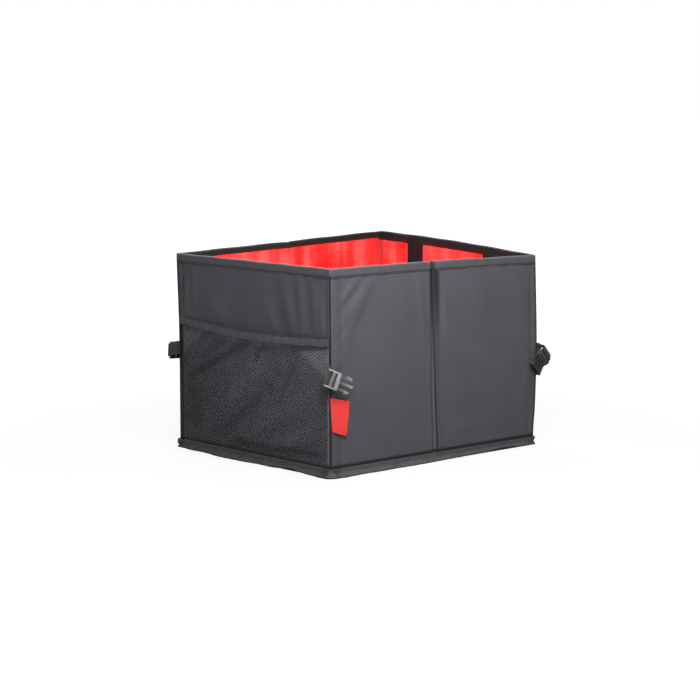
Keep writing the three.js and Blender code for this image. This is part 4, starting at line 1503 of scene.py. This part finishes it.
def sew(name, rows, material):
    vertices, faces = [], []
    count = 0
    for points, normals in rows:
        made, around = stitch_row(points, normals)
        vertices.append(made)
        faces += [[count + i for i in face] for face in around]
        count += len(made)
    mesh = bpy.data.meshes.new(name)
    mesh.from_pydata(np.concatenate(vertices).tolist(), [], faces)
    piece = bpy.data.objects.new(name, mesh)
    bpy.context.collection.objects.link(piece)
    bpy.ops.object.select_all(action="DESELECT")
    piece.select_set(True)
    bpy.context.view_layer.objects.active = piece
    bpy.ops.object.shade_smooth()
    return dress(piece, material)


def along_box(surface, across, count=900):
    """A row round the box on a surface that place gives, with the surface's normals."""
    u = np.linspace(0, perimeter, count)
    v = np.full(count, across)
    here, ahead = settle(surface(u, v)), settle(surface(u + 0.5 * mm, v))
    above = settle(surface(u, v + 0.5 * mm))
    return here, unit(np.cross(ahead - here, above - here))


rim_rows = [along_box(rim_place, seam_in), along_box(rim_place, rim_across - seam_in)]
sew("rim_stitches", rim_rows, dark_thread)

u = np.linspace(3 * mm, 2 * net_half, 260)
pocket_rows = []
for across in (0.10, 0.40):
    v = np.full(len(u), across * pocket_round)
    here = settle(pocket_tape_place(u, v))
    normals = np.tile(net_wall.out, (len(u), 1))
    pocket_rows.append((here, normals))
sew("pocket_tape_stitches", pocket_rows, dark_thread)

# %% [markdown]
# At each upright corner the two walls' cloths meet in a seam, and a thin black cord of turned tape
# lies in the groove between them.

# %% Corner seams
seam_radius = 1.15 * mm


def corner_seam(name, sx, sy):
    size = (2 * math.pi * seam_radius, tape_foot - foot_top + 9 * mm)

    def place(u, v):
        angle = u / seam_radius
        z = v + foot_top - 4 * mm
        wander = 0.25 * mm * slow_waves(z * 0 + sx, z, 40 * mm, 80.0 + sy)
        slip = (1 - 2 * v / size[1]) * 0.7 * mm
        x = sx * (face_x - 0.9 * mm - slip) + wander + seam_radius * np.cos(angle)
        y = sy * (face_y - 0.9 * mm + slip) + wander + seam_radius * np.sin(angle)
        return np.stack([x, y, z], axis=-1)

    return flat_cut(name, size, (10, 90), place, seam=True)


for name, hang in corner_hangs.items():
    piece = corner_seam(f"{name}_corner_seam", hang["sx"], hang["sy"])
    dress(piece, black_tape)

# %% [markdown]
# The boards lie between the layers. The walls' boards settle with their cloth, and they give way a
# little under its creases. The base's boards stay as they are.

# %% Boards
board_give = 0.7 * mm
board_outer = 1.5 * mm + board_give
board_thick = 3 * mm - board_give
for node in [name for name in frame["nodes"] if "_wall_board" in name]:
    wall = walls[node.split("_wall_board")[0]]
    corners = np.array([v.co for v in frame["nodes"][node].data.vertices])
    alongs = (corners - wall.middle) @ wall.along
    low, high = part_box(node)
    size = (np.ptp(alongs), high.z - low.z)

    def place(u, v, wall=wall, start=alongs.min(), low=low):
        along, z = u + start, v + low.z
        return wall.place(along, -board_outer - wall.lean(along, z), z)

    piece = flat_cut(node.replace("wall_board", "stiffener"), size, (32, 24), place, thick=board_thick)
    bpy.ops.object.shade_smooth_by_angle(angle=math.radians(40))
    dress(piece, board, replaces=[node])
for side in ("left", "right"):
    base_board = frame["nodes"][f"base_board_{side}"]
    base_board.data.materials.clear()
    base_board.data.materials.append(board)

# %% [markdown]
# The studio is plain: a pale floor, soft lamps and a white world. The camera sees floor and world as
# white, and the floor still takes the box's shadow, because part of it is lit as any surface.

# %% Floor and light
bpy.ops.object.select_all(action="DESELECT")
bpy.ops.mesh.primitive_plane_add(size=14, location=(0, 0, -0.0002))
floor = bpy.context.object
floor.name = "studio_floor"
floor_material = bpy.data.materials.new("pale_floor")
floor_material.use_nodes = True
tree = floor_material.node_tree
tree.nodes.clear()
start = Wire(tree)
spot = start.node("TexCoord", None, None, 3)
from_box = start.node("VectorMath", {"operation": "LENGTH"}, {0: spot}, 1)
seen = start.node("LightPath") * (0.76 + from_box.between(0.45, 1.1) * 0.24)
lit = start.node("BsdfDiffuse", None, {"Color": (0.24, 0.24, 0.245, 1)})
glow = start.node("Emission", None, {"Color": (1, 1, 1, 1), "Strength": 1.175})
both = start.node("MixShader", None, {0: seen, 1: lit, 2: glow})
out = tree.nodes.new("ShaderNodeOutputMaterial")
tree.links.new(both.socket, out.inputs["Surface"])
floor.data.materials.append(floor_material)

world = bpy.data.worlds.new("white_studio")
bpy.context.scene.world = world
world.use_nodes = True
tree = world.node_tree
background = tree.nodes["Background"]
start = Wire(tree)
world_light = 0.09
strength = start.node("LightPath") * (1 - world_light) + world_light
tree.links.new(strength.socket, background.inputs["Strength"])
background.inputs["Color"].default_value = (1, 1, 1, 1)


def soft_lamp(name, place, aim, size, power):
    """A square lamp at a place, aimed at a point; size in metres, power in watts."""
    bpy.ops.object.select_all(action="DESELECT")
    bpy.ops.object.light_add(type="AREA", location=place)
    lamp = bpy.context.object
    lamp.name = name
    lamp.data.size = size
    lamp.data.energy = power
    lamp.rotation_euler = (Vector(aim) - Vector(place)).to_track_quat("-Z", "Y").to_euler()
    return lamp


soft_lamp("key_lamp", (-0.82, -0.98, 1.15), (0.0, -0.15, 0.2), 0.6, 27.5)
soft_lamp("top_lamp", (0.15, -0.1, 1.7), (0.05, 0.05, 0.15), 1.0, 8)
soft_lamp("crease_lamp", (-0.22, -0.52, 0.80), (-0.05, -0.17, 0.26), 0.22, 3.7)
soft_lamp("back_lamp", (0.45, 0.75, 1.5), (0.0, -0.1, 0.0), 0.8, 20)
soft_lamp("inside_lamp", (-0.05, -0.35, 1.25), (0.05, 0.2, 0.25), 0.5, 4)

bpy.context.scene.view_settings.view_transform = "Standard"
